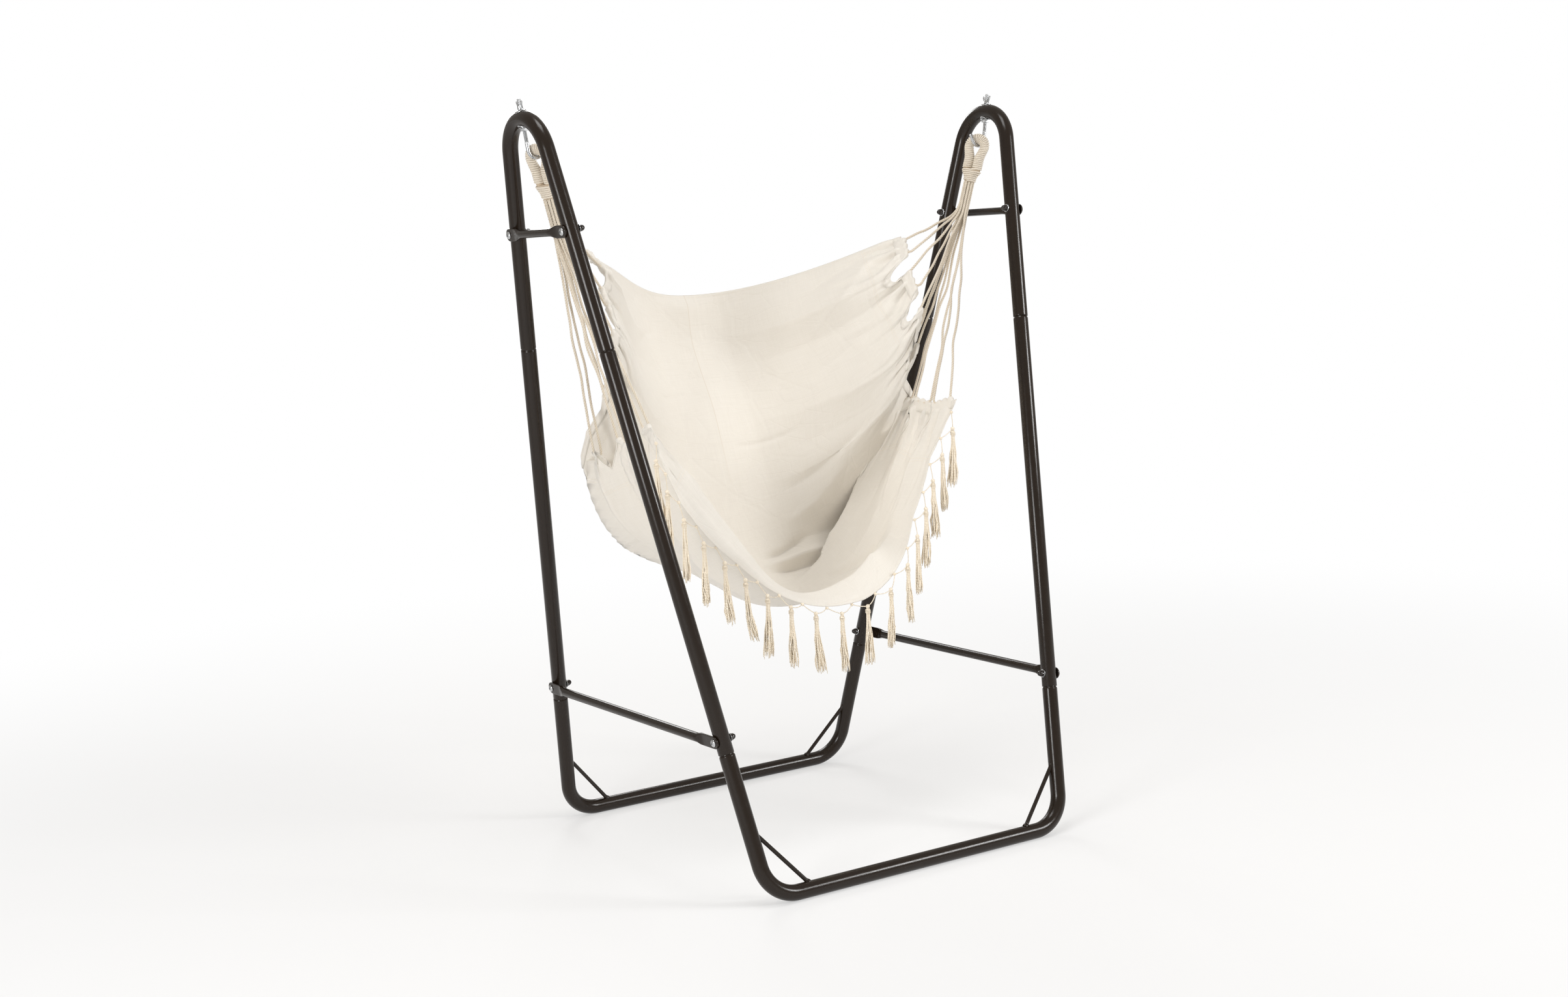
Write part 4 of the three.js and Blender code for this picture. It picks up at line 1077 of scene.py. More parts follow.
def eye_whipping(side):
    """One cord wound up the first limb, over the hook, down the second and round the neck"""
    along, across, through = eye_directions(side)
    cord = seat_sizes().whipping
    reach = LIMB / 2 - cord / 2
    arc = math.pi * EYE_ARC
    total = arc + 2 * EYE_DROP
    spots, normals, widths = [], [], []
    limb_pitch, hook_pitch = 0.00505, 0.0040
    gone, gap, turn = 0.006, 0.004, 0.0
    step = 1 / 40
    while gone < total - gap:
        edge = min(gone - EYE_DROP, EYE_DROP + arc - gone)
        onto = float(eased(edge, -0.008, 0.004))
        pitch = blend(limb_pitch, hook_pitch, onto)
        point, out, squeeze = eye_line(side, gone)
        angle = math.tau * turn
        cos, sin = math.cos(angle), math.sin(angle)
        spots.append(point + out * reach * cos + through * (reach - squeeze) * sin)
        normals.append(unit(out * (reach - squeeze) * cos + through * reach * sin))
        local = pitch * blend(1.0, (EYE_ARC + reach * cos) / EYE_ARC, onto)
        widths.append(min(local * 0.97, cord * 1.08))
        turn += step
        gone += pitch * step
    drop = 0.0
    while drop < NECK - cord * 0.5:
        wide, deep = neck_size(drop / NECK)
        angle = math.tau * turn
        cos, sin = math.cos(angle), math.sin(angle)
        middle = eye_centre(side, EYE_DROP + drop)
        spots.append(middle + across * (wide + cord / 2) * cos + through * (deep + cord / 2) * sin)
        normals.append(unit(across * (deep + cord / 2) * cos + through * (wide + cord / 2) * sin))
        widths.append(cord * 0.98)
        turn += step
        drop += cord * 1.02 * step
    spots, normals, widths = np.array(spots), np.array(normals), np.array(widths)
    ahead = unit(np.gradient(spots, axis=0))
    normals = square_to(normals, ahead)
    rings = ring_rows(spots, ahead, normals, cord / 2, widths / 2, 8)
    # Painted shade: each turn of the cord is darker on its side against the strands
    sway = np.cos(np.linspace(0, math.tau, 8, endpoint=False))
    painted_shade_depth = np.broadcast_to(0.55 - 0.55 * sway, rings.shape[:2])
    return skin(rings, line_length(spots), math.pi * cord, painted_shade_depth)


class HAMMOCK_OT_seat(bpy.types.Operator):
    """Hang the cotton sheet with its tabs round the ropes, and its fringe on the front hem"""

    bl_idname = "hammock.seat"
    bl_label = "Seat"

    def execute(self, context):
        sizes = seat_sizes()
        sheet = fitted("cotton_seat", hung_sheet(), [found("cotton canvas", canvas)], "hammock",
                       "seat_cloth")
        thick = sheet.modifiers.new("thickness", "SOLIDIFY")
        thick.thickness = sizes.cloth
        thick.offset = 0
        yarn = found("fringe cotton", fringe_cotton)
        knots = hem_knots()
        heads = tassel_heads(knots)
        made = {"fringe_net": fringe_net(knots, heads)}
        made.update((f"tassel_{k + 1:02d}", tassel(head, k)) for k, head in enumerate(heads))
        fringe = [of_cotton(name, bm, "hem_fringe", yarn) for name, bm in made.items()]
        return {"FINISHED"}


def hung_sheet():
    """The sheet as one grid: its columns run across and go round the ropes at both sides"""
    half = 84
    rows = 250
    wrap = 9
    columns = 2 * half + 2 * wrap
    v = np.linspace(0, 1, rows + 1)
    even = np.linspace(-1, 1, 2 * half + 1)
    s = even - 0.5 * np.sin(math.tau * even) / math.tau
    grid = np.zeros((rows + 1, columns + 1, 3))
    flat = np.zeros((rows + 1, columns + 1, 2))
    for k, share in enumerate(s):
        cut = notch_cut(v, np.sign(share) + (share == 0)) / SHEET_HALF
        u = share * (1 - cut * abs(share) ** 5)
        grid[:, wrap + k] = sheet_points(u, v)
        flat[:, wrap + k] = np.stack([u * SHEET_HALF, v * SHEET_DEPTH], axis=1)
    body = grid[:, wrap:-wrap]
    body += relief_of(body, flat[:, wrap:-wrap])
    for side, edge in ((-1, wrap), (1, -wrap - 1)):
        wrap_edge(grid, flat, v, side, edge, wrap)
    bm, layer, column, row = gridded(columns, rows)
    spots, cloth = grid[row, column], flat[row, column]
    for k, vert in enumerate(bm.verts):
        vert.co = spots[k]
    for face in bm.faces:
        for loop in face.loops:
            loop[layer].uv = cloth[loop.vert.index]
    return bm


def facing(grid):
    """Normals of a grid of points"""
    over = np.gradient(grid, axis=1)
    down = np.gradient(grid, axis=0)
    return unit(np.cross(over, down))


def relief_of(body, flat):
    """Soft folds and creases of the sheet, as shifts along its normals"""
    normal = facing(body)
    x, y = flat[..., 0], flat[..., 1]
    place = y / SHEET_DEPTH * TABS
    edge = SHEET_HALF - np.abs(x)
    pull = np.exp(-(edge / 0.16) ** 2)
    height = -0.006 * pull * np.cos(math.tau * place) * eased(edge, 0.004, 0.05)
    seed = np.random.default_rng(5)
    for tab in range(TABS):
        for side in (-1, 1):
            here = (x * side > 0)
            beside = (place - tab - 0.5) / 0.5
            fade = np.exp(-(edge / 0.11) ** 1.3 - (beside / 0.75) ** 4) * eased(edge, 0.001, 0.018)
            for waves, size in GATHERS:
                count = waves * seed.uniform(0.85, 1.15)
                bent = beside + 0.12 * np.sin(beside * 5 + edge * 30 + tab)
                height += here * fade * size * np.sin(bent * math.pi * count + seed.uniform(0, 6.3))
    tent = np.sqrt(x ** 2 + 0.002 ** 2)
    upper = (1 - eased(y, 0.35, 0.75)) * eased(y, -0.01, 0.05)
    height += -0.021 * np.clip(1 - tent / 0.12, 0, 1) * upper
    for start, stop, tall, wide in CREASES:
        height += crease(x, y, start, stop, 1.7 * tall, wide)
    height += 0.0040 * np.sin(math.tau * (x / 0.43 + y / 1.9) + 0.7) * eased(y, 0.1, 0.6)
    return normal * height[..., None]


def crease(x, y, start, stop, tall, wide):
    """Height of one crease: a sharp ridge from start to stop that fades at both ends"""
    span = np.array(stop) - np.array(start)
    size = math.hypot(*span)
    gone = ((x - start[0]) * span[0] + (y - start[1]) * span[1]) / size
    away = ((x - start[0]) * span[1] - (y - start[1]) * span[0]) / size
    away = away + 0.06 * wide * np.sin(gone * 90) + 0.1 * size * np.sin(math.pi * gone / size) * 0.3
    along = eased(gone, 0, 0.35 * size) * (1 - eased(gone, 0.65 * size, size))
    return tall * along * np.exp(-np.abs(away / wide) ** 1.4)


def wrap_edge(grid, flat, v, side, edge, wrap):
    """Takes the sheet's edge round the rope at each tab, and to a small rolled hem between tabs"""
    at, before = grid[:, edge], grid[:, edge - side]
    out = unit(bundle_point(side, (0, 0), BUNDLE) - at)
    level = unit(at - before)
    down = unit(np.gradient(at, axis=0))
    normal = unit(np.cross(out, down) * side)
    place = v * TABS
    away = np.abs(place - np.round(place))
    ends = (place < 0.5) | (place > TABS - 0.5)
    away = np.where(ends, 0.5 - np.abs(place % 1 - 0.5), away)
    sleeve = eased(away, 0.19, 0.27)[:, None]
    pucker = 0.5 + 0.5 * np.sin(math.tau * 6.3 * place + 2.5 * np.sin(1.7 * place + side))
    radius = blend(0.0013, 0.0057 + 0.0024 * pucker[:, None], sleeve)
    out = unit(blend(level, out, sleeve))
    centre = at + out * radius
    turns = np.radians(np.linspace(180, -140, wrap - 1))[1:]
    for k, turn in enumerate(turns):
        spot = centre + out * radius * math.cos(turn) + normal * radius * math.sin(turn)
        grid[:, edge + side * (k + 1)] = spot
        flat[:, edge + side * (k + 1)] = flat[:, edge] + np.stack(
            [side * radius[:, 0] * (math.pi - turn), 0 * v], axis=1)
    for k, back in ((wrap - 1, 0.009), (wrap, 0.022)):
        share = back / 0.022
        under = at - out * back - normal * (0.0019 + 0.0006 * (1 - share))
        grid[:, edge + side * k] = under
        flat[:, edge + side * k] = flat[:, edge + side * (wrap - 2)] + np.stack(
            [np.full_like(v, side * back), 0 * v], axis=1)


def hem_knots():
    """Places along the front hem where the fringe's cord is tied"""
    u = np.linspace(-1, 1, 201)
    samples = sheet_points(u, np.ones_like(u))
    gone = measured(samples)
    wanted = (np.arange(TASSELS + 1) + 0.5) * gone[-1] / (TASSELS + 1)
    at = np.interp(wanted, gone, u)
    hem, above = sheet_points(at, np.ones_like(at)), sheet_points(at, np.full_like(at, 0.99))
    return hem + unit(hem - above) * HEM_GAP


def tassel_heads(knots):
    heads = []
    for first, second in zip(knots, knots[1:]):
        span = second - first
        half = np.linalg.norm(span) / 2
        drop = math.sqrt(max(NET_ARM ** 2 - half ** 2, 0.0026 ** 2))
        down = unit(np.array([0, 0, -1]) + span * span[2] / (span @ span))
        heads.append(first + span / 2 + down * drop + np.array([0, -TASSEL_FRONT, 0]))
    return heads


def fringe_net(knots, heads):
    """The netting cord from knot to tassel to knot, with a small knot at each place"""
    parts = []
    seed = np.random.default_rng(9)
    for k, head in enumerate(heads):
        for a, b in ((knots[k], head), (head, knots[k + 1])):
            share = np.linspace(0, 1, 14)[:, None]
            sag = np.sin(math.pi * share) * np.array([0, -0.002, -0.003]) * seed.uniform(0.4, 1.4)
            line = a + (b - a) * share + sag
            parts.append(laid_skin(evened(line, 0.003), NET_CORD, 0.009, 2, 8))
    for spots, size in ((knots, HEM_KNOT), (heads, HEAD_KNOT)):
        parts += [wrapped_knot(spot, size, seed) for spot in spots]
    return joined(parts)


def wrapped_knot(spot, size, seed):
    """Small knot: a cord wound into a ball"""
    t = np.linspace(0, 1, 56)
    lift = np.cos(math.pi * t)
    around = math.tau * 3.3 * t + seed.uniform(0, 6)
    wide = np.sqrt(np.maximum(1 - lift ** 2, 0.04))
    line = np.stack([np.cos(around) * wide, np.sin(around) * wide, lift], axis=1) * size * 0.62
    tilt = Matrix.Rotation(seed.uniform(0, 3), 3, "X") @ Matrix.Rotation(seed.uniform(0, 3), 3, "Y")
    line = line @ np.array(tilt).T + spot
    return laid_skin(line, size * 0.95, 0.02, 2, 8)


def tassel(head, number):
    """Bundle of loose wavy yarns hung from its knot, bound by a short wrapping"""
    sizes = seat_sizes()
    seed = np.random.default_rng(100 + number)
    count = sizes.yarns
    length = sizes.tassel
    end = seed.uniform(0.0085, 0.0145)
    sway = seed.uniform(-0.012, 0.012, 2)
    parts = []
    down = np.linspace(0, 1, 10)
    for k in range(count):
        ring = math.sqrt((k + 0.5) / count)
        angle = k * YARN_TURN + seed.uniform(-0.3, 0.3)
        reach = length * seed.uniform(0.93, 1.04)
        spread = blend(0.0042, end * seed.uniform(0.85, 1.15), eased(down, 0.10, 0.95))
        spread = np.where(down < 0.1, blend(0.0030, 0.0042, eased(down, 0, 0.1)), spread)
        wave = seed.uniform(0.0004, 0.0022) * eased(down, 0.12, 0.5)
        rate, phase = seed.uniform(1.2, 3.0), seed.uniform(0, 6.3, 2)
        x, y = (spread * ring * way + wave * np.sin(6.28 * rate * down + start) + lean * down ** 2
                for way, start, lean in zip((math.cos(angle), math.sin(angle)), phase, sway))
        line = np.stack([x, y, -0.003 - down * reach], axis=1) + head
        parts.append(yarn_skin(line, YARN))
    turns = np.linspace(0, 1, 90)
    around = math.tau * 4.2 * turns
    ring = 0.0058
    band = np.stack([ring * np.cos(around), ring * np.sin(around), -0.008 - 0.0095 * turns], axis=1)
    parts.append(yarn_skin(band + head, BAND))
    return joined(parts)


def yarn_skin(line, diameter):
    along, beside = carried(line, (1, 0.2, 0))
    taper = np.full(len(line), diameter / 2)
    taper[-1] *= 0.5
    rings = ring_rows(line, along, beside, taper, sides=4)
    return skin(rings, line_length(line), math.pi * diameter)


class HAMMOCK_OT_tubes(bpy.types.Operator):
    """Bend the crown hairpins, the uprights and the floor bars, and weld in the gusset rods"""

    bl_idname = "hammock.tubes"
    bl_label = "Tubes"

    def execute(self, context):
        for name, side in SIDES.items():
            coated(f"hairpin_{name}", hairpin(side), f"top_arch_{name}")
            for place, end in ENDS.items():
                tag = f"{place}_{name}"
                coated(f"upright_{tag}", upright(side, end), f"leg_tube_{tag}")
                coated(f"gusset_rod_{tag}", gusset(side, end), f"corner_brace_{tag}")
        for place, end in ENDS.items():
            coated(f"floor_bar_{place}", floor_bar(end), f"base_tube_{place}")
        return {"FINISHED"}


def tube_skin(route, normal, radius):
    """Tube along a flat route; normal stands on the route's plane"""
    ahead = unit(np.gradient(route, axis=0))
    return skin(ring_rows(route, ahead, unit(normal), radius, sides=48))


def open_end(route, tube):
    """Radii that round a tube's cut ends over the last few tenths of a millimetre"""
    gone = measured(route)
    near = np.minimum(gone, gone[-1] - gone)
    lip = 0.0006
    inside = np.clip(1 - near / lip, 0, 1)
    return tube / 2 - lip * (1 - np.sqrt(1 - inside ** 2))


def with_ends(route):
    """Adds close points at both ends of a route for a rounded lip"""
    steps = (0.0001, 0.0003, 0.0006)
    head, tail = unit(route[1] - route[0]), unit(route[-2] - route[-1])
    first = [route[0]] + [route[0] + head * step for step in steps]
    last = [route[-1] + tail * step for step in reversed(steps)] + [route[-1]]
    return np.array(first + list(route[1:-1]) + last)


def hairpin(side):
    tube = stand_sizes().tube
    corners = [leg_point(side, -1, UPPER_JOINT), in_frame(side, 0, APEX_REACH),
               leg_point(side, 1, UPPER_JOINT)]
    route = with_ends(rounded(corners, [CROWN_BEND], 0.004))
    return tube_skin(route, outward(side), open_end(route, tube))


def spigot(joint, rise, tube):
    """Points and radii of the drawn-in end that slides into the tube above"""
    low = tube / 2 - 0.0021
    steps = [(-0.0058, tube / 2), (-0.0052, tube / 2 - 0.0001), (-0.0042, tube / 2 - 0.0005),
             (-0.0022, low + 0.0005), (-0.0012, low + 0.0001), (-0.0002, low), (0.03, low)]
    return [(joint + rise * step, radius) for step, radius in steps]


def upright(side, end):
    tube = stand_sizes().tube
    foot, top = leg_point(side, end, LOWER_JOINT), leg_point(side, end, UPPER_JOINT)
    rise = leg_rise(side, end)
    low = [(foot, tube / 2 - 0.0006), (foot + rise * 0.0001, tube / 2 - 0.0003),
           (foot + rise * 0.0003, tube / 2 - 0.0001), (foot + rise * 0.0006, tube / 2)]
    laid = low + spigot(top, rise, tube)
    route = np.array([point for point, _ in laid])
    return skin(ring_rows(route, rise, outward(side), [r for _, r in laid], sides=48))


def floor_bar(end):
    tube = stand_sizes().tube
    joints = {side: leg_point(side, end, LOWER_JOINT) for side in (-1, 1)}
    rises = {side: leg_rise(side, end) for side in (-1, 1)}
    corners = [joints[-1] - rises[-1] * 0.008, in_frame(-1, end * BASE_DEPTH / 2, 0),
               in_frame(1, end * BASE_DEPTH / 2, 0), joints[1] - rises[1] * 0.008]
    bends = rounded(corners, [FLOOR_BEND, FLOOR_BEND], 0.006)
    left = spigot(joints[-1], rises[-1], tube)[::-1]
    right = spigot(joints[1], rises[1], tube)
    laid = left + [(point, tube / 2) for point in bends] + right
    route = np.array([point for point, _ in laid])
    normal = np.cross([1, 0, 0], leg_rise(1, end))
    return tube_skin(route, normal, [r for _, r in laid])


def gusset(side, end):
    """Rod in the lower corner, with a small fillet of weld at both ends"""
    rod = stand_sizes().gusset / 2
    high = leg_point(side, end, GUSSET_LEG)
    low = np.array([side * (BASE_WIDTH / 2 - GUSSET_BAR), end * BASE_DEPTH / 2, TUBE_RADIUS])
    span = np.linalg.norm(high - low)
    inset, weld = 0.021, 0.0030
    gone = np.r_[inset, inset + np.array([0.003, 0.005, 0.008, 0.011]), span / 2]
    gone = np.r_[gone, span - gone[::-1][1:]]
    near = np.minimum(gone, span - gone) - inset
    radius = rod + weld * (1 - eased(near, 0.001, 0.010))
    route = low + (high - low) / span * gone[:, None]
    ahead = unit(high - low)
    beside = square_to(np.array([0, 1.0, 0]), ahead)
    return skin(ring_rows(route, ahead, beside, radius, sides=24))


class HAMMOCK_OT_links(bpy.types.Operator):
    """Press the flat ends of the crown links and foot links and bolt them outside the legs"""

    bl_idname = "hammock.links"
    bl_label = "Links and bolts"

    def execute(self, context):
        sizes = stand_sizes()
        zinc = found("bright zinc", bright_zinc)
        dark = found("dark dome enamel", dome_enamel)
        rows = {"upper": LINK_HEIGHT, "lower": SPREADER_HEIGHT}
        for name, side in SIDES.items():
            link = pressed_bar(side, LINK_HEIGHT, sizes.link, 0.022, 0.045)
            coated(f"crown_link_{name}", link, f"upper_link_{name}", 40)
            link = pressed_bar(side, SPREADER_HEIGHT, sizes.spreader, 0.045, 0.034)
            coated(f"foot_link_{name}", link, f"lower_spreader_{name}", 40)
            for row, height in rows.items():
                for place, end in ENDS.items():
                    tag = f"{row}_{place}_{name}"
                    plated(f"button_bolt_{tag}", button_bolt(side, end, height), f"bolt_{tag}")
                    fitted(f"dome_nut_{tag}", dome_nut(side, end, height), [dark, zinc], "stand",
                           f"cap_nut_{tag}", 30)
        return {"FINISHED"}


def pressed_bar(side, height, middle, flat_reach, taper):
    """Tube whose ends are pressed flat, rounded off and bolted on"""
    reach = (height - TUBE_RADIUS) / LEAN_Z
    bolt = BASE_DEPTH / 2 * (1 - reach / APEX_REACH)
    margin, thick, tall = 0.015, FLAT_END, 0.030
    out = TUBE_RADIUS + FIT + thick / 2
    rim = [(bolt + margin * math.cos(a), thick * 0.86, tall * math.sin(a))
           for a in np.linspace(0.10, math.pi / 2, 12)]
    rim = [(rim[0][0] + 0.0002, thick * 0.6, rim[0][2] * 0.8)] + rim
    flats = [(bolt - flat_reach * share, thick, tall) for share in (0.3, 0.7, 1.0)]
    cone = []
    for share in np.linspace(0.12, 1, 9):
        grown = eased(share, 0, 1)
        cone.append((bolt - flat_reach - taper * share, blend(thick, middle, grown),
                     blend(tall, middle, grown)))
    half = rim + flats + cone + [(0.0, middle, middle)]
    full = half + [(-y, w, h) for y, w, h in half[::-1][1:]]
    route = np.array([in_frame(side, y, reach, out) for y, _, _ in full])
    wide = np.array([w / 2 for _, w, _ in full])
    high = np.array([h / 2 for _, _, h in full])
    power = 2 + 5 * (1 - eased(wide * 2, thick, middle * 0.9))
    return skin(ring_rows(route, (0, -1, 0), outward(side), wide, high, 40, power))


def corner_reach(vert, turn=0.0):
    """How far a hexagon goes out at a point's angle, as a share of its flats' distance"""
    angle = math.atan2(vert.co.y, vert.co.x)
    return 1 / math.cos((angle + turn) % (math.pi / 3) - math.pi / 6)


def widened(vert, share):
    vert.co.x, vert.co.y = vert.co.x * share, vert.co.y * share


def button_bolt(side, end, height):
    """Button head with a hexagon socket, and its shank through the leg"""
    seat = TUBE_RADIUS + FLAT_END + 2 * FIT
    rim, tall, socket, deep = 0.009, 0.005, 0.003, 0.0028
    dome = [(rim * math.cos(a), seat + 0.0006 + (tall - 0.0006) * math.sin(a))
            for a in np.linspace(0, 1.05, 8)]
    top = dome[-1][1]
    profile = [(0, -0.030), (0.0036, -0.030), (0.004, -0.0296), (0.004, seat), (rim - 0.0003, seat),
               (rim, seat + 0.0003)] + dome
    profile += [(socket * 1.18, top + 0.0003), (socket * 1.10, top + 0.0001),
                (socket * 1.08, top - deep), (socket * 0.3, top - deep - 0.0006),
                (0, top - deep - 0.0006)]
    bm = turned(profile, 36)
    for vert in bm.verts:
        ring = math.hypot(vert.co.x, vert.co.y)
        if vert.co.z > top - deep - 0.0001 and ring < socket * 1.12:
            widened(vert, socket * corner_reach(vert, 10) / ring)
    return stood(bm, leg_point(side, end, height), outward(side))


def dome_nut(side, end, height):
    """Dark domed nut on a bright washer, inside the leg"""
    seat = TUBE_RADIUS + FIT
    thick = 0.0016
    washer = turned([
        (0.0047, seat), (0.0097, seat), (0.010, seat + 0.0003), (0.010, seat + thick - 0.0003),
        (0.0097, seat + thick), (0.0047, seat + thick), (0.0047, seat)], 40)
    face = seat + thick
    cap = 0.0085
    wall = [(0.0043, face), (cap - 0.0004, face), (cap, face + 0.0004), (cap, face + 0.0048),
            (cap - 0.0006, face + 0.0054), (cap - 0.0010, face + 0.0056)]
    dome = [((cap - 0.0011) * math.cos(a), face + 0.0056 + 0.0088 * math.sin(a))
            for a in np.linspace(0.05, 1.52, 12)]
    bore = [(0, face + 0.0144), (0, face + 0.010), (0.0043, face + 0.010), (0.0043, face)]
    nut = turned(wall + dome + bore, 42)
    for vert in nut.verts:
        ring = math.hypot(vert.co.x, vert.co.y)
        if ring > cap - 0.0005 and vert.co.z < face + 0.005:
            widened(vert, blend(1.0, math.cos(math.pi / 6) * corner_reach(vert), 0.75))
    both = joined([painted(nut, 0), painted(washer, 1)])
    return stood(both, leg_point(side, end, height), -outward(side))


class HAMMOCK_OT_hooks(bpy.types.Operator):
    """Bend the hooks and set their saddle plates and nuts on the crowns"""

    bl_idname = "hammock.hooks"
    bl_label = "Hooks"

    def execute(self, context):
        for name, side in SIDES.items():
            plated(f"bent_hook_{name}", bent_hook(side), f"hook_{name}", 50)
            plated(f"saddle_plate_{name}", saddle_plate(side, 1), f"crown_saddle_{name}", 35)
            plated(f"flange_nut_{name}", flange_nut(side), f"crown_lock_nut_{name}")
            plated(f"winged_nut_{name}", winged_nut(side), f"wing_nut_{name}")
        return {"FINISHED"}


def bent_hook(side):
    """Rod through the crown, threaded above and below it, with a round bend and a tip turned in"""
    sizes = stand_sizes()
    opening = math.radians(150)
    setback = HOOK_BEND / math.tan((math.pi - opening) / 2)
    top = in_frame(side, 0, CROWN_REACH + TUBE_RADIUS + ROD_ABOVE)
    corner = in_frame(side, 0, CROWN_REACH - HOOK_DROP - setback)
    rise = setback + 0.022
    lift, inset = rise * math.cos(math.pi - opening), rise * math.sin(math.pi - opening)
    tip = in_frame(side, 0, CROWN_REACH - HOOK_DROP - setback + lift, -inset)
    shank = 0.066 + TUBE_RADIUS + ROD_ABOVE
    fine = np.linspace(0, shank, int(shank / 0.00025))
    upper = top + unit(corner - top) * fine[:, None]
    lower = rounded([upper[-1], corner, tip], [HOOK_BEND], 0.0015)[1:]
    route = np.concatenate([upper, lower])
    gone = measured(route)
    ahead = unit(np.gradient(route, axis=0))
    rod = sizes.hook / 2
    ends = np.minimum(gone, gone[-1] - gone)
    radius = rod - 0.0009 * np.clip(1 - ends / 0.0012, 0, 1) ** 2
    rings = ring_rows(route, ahead, (0, 1, 0), radius, sides=24)
    turn = np.linspace(0, math.tau, 24, endpoint=False)
    phase = gone[:, None] / sizes.thread - turn[None] / math.tau
    saw = np.abs(phase % 1 - 0.5) * 2
    threaded = eased(gone, 0.001, 0.003) * (1 - eased(gone, shank - 0.014, shank - 0.010))
    cut = 0.00065 * saw * threaded[:, None]
    inward = route[:, None] - rings
    rings = rings + inward / np.linalg.norm(inward, axis=2, keepdims=True) * cut[..., None]
    return skin(rings)


def crown_skin(y, out, radius, up):
    """Height above the crown's middle line of the tube's skin, at a place beside its top"""
    tube = math.sqrt(max(radius ** 2 - out ** 2, 0))
    return math.sqrt((CROWN_BEND + up * tube) ** 2 - y ** 2) - CROWN_BEND


def saddle_plate(side, up):
    """Round plate bent to the crown's own curve, above the tube or below it"""
    disc, thick = 0.014, SADDLE
    steps = (0.0049, 0.007, 0.009, 0.011, 0.0128, disc - 0.0003)
    under = [(step, 0) for step in steps] + [(disc, 0.0004)]
    over = [(disc, thick - 0.0004)] + [(step, thick) for step in steps[::-1]]
    bm = turned(under + over + [(steps[0], 0)], 48)
    for vert in bm.verts:
        out, y, layer = vert.co
        height = crown_skin(y, out, TUBE_RADIUS + FIT, up) + up * layer
        vert.co = in_frame(side, y, CROWN_REACH + height, out)
    bmesh.ops.recalc_face_normals(bm, faces=bm.faces)
    return bm


def flange_nut(side):
    """Hexagon nut under the crown with its saddle plate"""
    seat = CROWN_REACH - TUBE_RADIUS - FIT - SADDLE
    across, tall = 0.0085, 0.007
    profile = [(0.0046, 0), (across * 0.93, 0), (across, 0.0005), (across * 1.04, 0.0010),
               (across * 1.04, tall - 0.0010), (across, tall - 0.0005), (across * 0.93, tall),
               (0.0052, tall), (0.0046, tall - 0.0006), (0.0046, 0)]
    nut = turned(profile, 48)
    for vert in nut.verts:
        ring = math.hypot(vert.co.x, vert.co.y)
        if ring > 0.0054:
            widened(vert, min(ring * 1.13, across * corner_reach(vert)) / ring)
    stood(nut, in_frame(side, 0, seat), -upward(side))
    return joined([nut, saddle_plate(side, -1)])


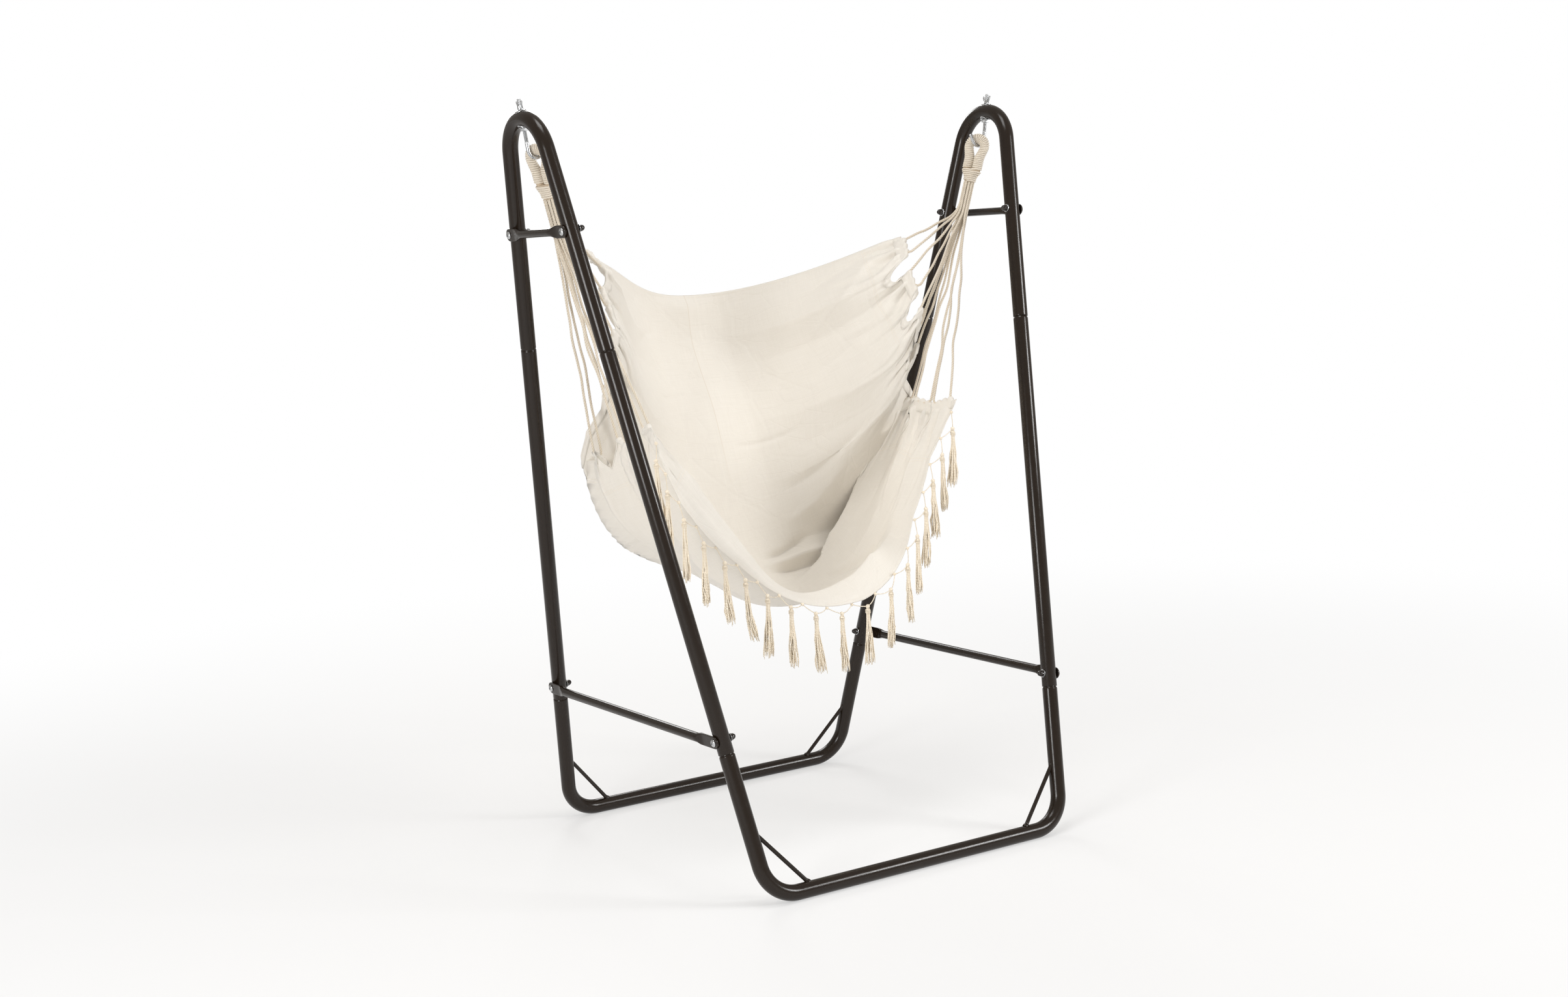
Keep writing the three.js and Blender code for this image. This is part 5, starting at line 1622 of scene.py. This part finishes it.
def winged_nut(side):
    """Boss with two ears, bevelled all round"""
    seat = CROWN_REACH + TUBE_RADIUS + SADDLE + 2 * FIT
    ring, tall = 0.007, 0.009
    boss = turned([(0.0046, 0), (ring - 0.0004, 0), (ring, 0.0004), (ring - 0.0006, tall - 0.0008),
                   (ring - 0.0014, tall), (0.0052, tall), (0.0046, tall - 0.0006), (0.0046, 0)], 40)
    stood(boss, in_frame(side, 0, seat), upward(side), (0, 1, 0))
    ears, thick = [], 0.0028
    half = [(0.0052, 0.0008), (0.0064, 0.0008), (0.0088, 0.0035), (0.0120, 0.0085),
            (0.0146, 0.0150), (0.0150, 0.0172), (0.0142, 0.0190), (0.0124, 0.0197),
            (0.0106, 0.0186), (0.0088, 0.0150), (0.0070, 0.0108), (0.0052, 0.0082)]
    for way in (-1, 1):
        bm = bmesh.new()
        bm.loops.layers.uv.new("flat")
        rim = [bm.verts.new((way * y, z, -thick / 2)) for y, z in half]
        face = bm.faces.new(rim)
        made = bmesh.ops.extrude_face_region(bm, geom=[face])
        lifted = [item for item in made["geom"] if isinstance(item, bmesh.types.BMVert)]
        bmesh.ops.translate(bm, vec=(0, 0, thick), verts=lifted)
        bmesh.ops.recalc_face_normals(bm, faces=bm.faces)
        sharp = [e for e in bm.edges if len(e.link_faces) == 2 and e.calc_face_angle(0) > 1.2]
        bmesh.ops.bevel(bm, geom=sharp, offset=0.0007, segments=3, profile=0.5,
                        affect="EDGES", material=-1)
        along, above = Vector((0, 1, 0)), Vector(upward(side))
        turn = Matrix((along, above, along.cross(above)))
        place = Matrix.Translation(Vector(in_frame(side, 0, seat))) @ turn.transposed().to_4x4()
        bmesh.ops.transform(bm, matrix=place, verts=bm.verts)
        ears.append(bm)
    return joined([boss] + ears)


class HAMMOCK_PT_panel(bpy.types.Panel):
    """Lists the makers of the hammock chair"""

    bl_label = "Hammock Chair"
    bl_idname = "HAMMOCK_PT_panel"
    bl_space_type = "VIEW_3D"
    bl_region_type = "UI"
    bl_category = "Hammock Chair"

    def draw(self, context):
        for maker in MAKERS:
            self.layout.operator(maker.bl_idname)
        for key in GROUPS:
            group, box = getattr(context.scene, key), self.layout.box()
            for name in group.bl_rna.properties.keys():
                if name not in ("rna_type", "name"):
                    box.prop(group, name)


MAKERS = [HAMMOCK_OT_stage, HAMMOCK_OT_ropes, HAMMOCK_OT_eyes, HAMMOCK_OT_seat, HAMMOCK_OT_tubes,
          HAMMOCK_OT_links, HAMMOCK_OT_hooks]
GROUPS = {"hammock_stand": StandSizes, "hammock_seat": SeatSizes, "hammock_stage": StageSizes}


def register():
    for cls in [*GROUPS.values(), *MAKERS, HAMMOCK_PT_panel]:
        bpy.utils.register_class(cls)
    for name, group in GROUPS.items():
        setattr(bpy.types.Scene, name, bpy.props.PointerProperty(type=group))


def unregister():
    for name in GROUPS:
        delattr(bpy.types.Scene, name)
    for cls in reversed([*GROUPS.values(), *MAKERS, HAMMOCK_PT_panel]):
        bpy.utils.unregister_class(cls)


def main():
    register()
    for maker in MAKERS:
        group, name = maker.bl_idname.split(".")
        getattr(getattr(bpy.ops, group), name)()


if __name__ == "__main__":
    main()
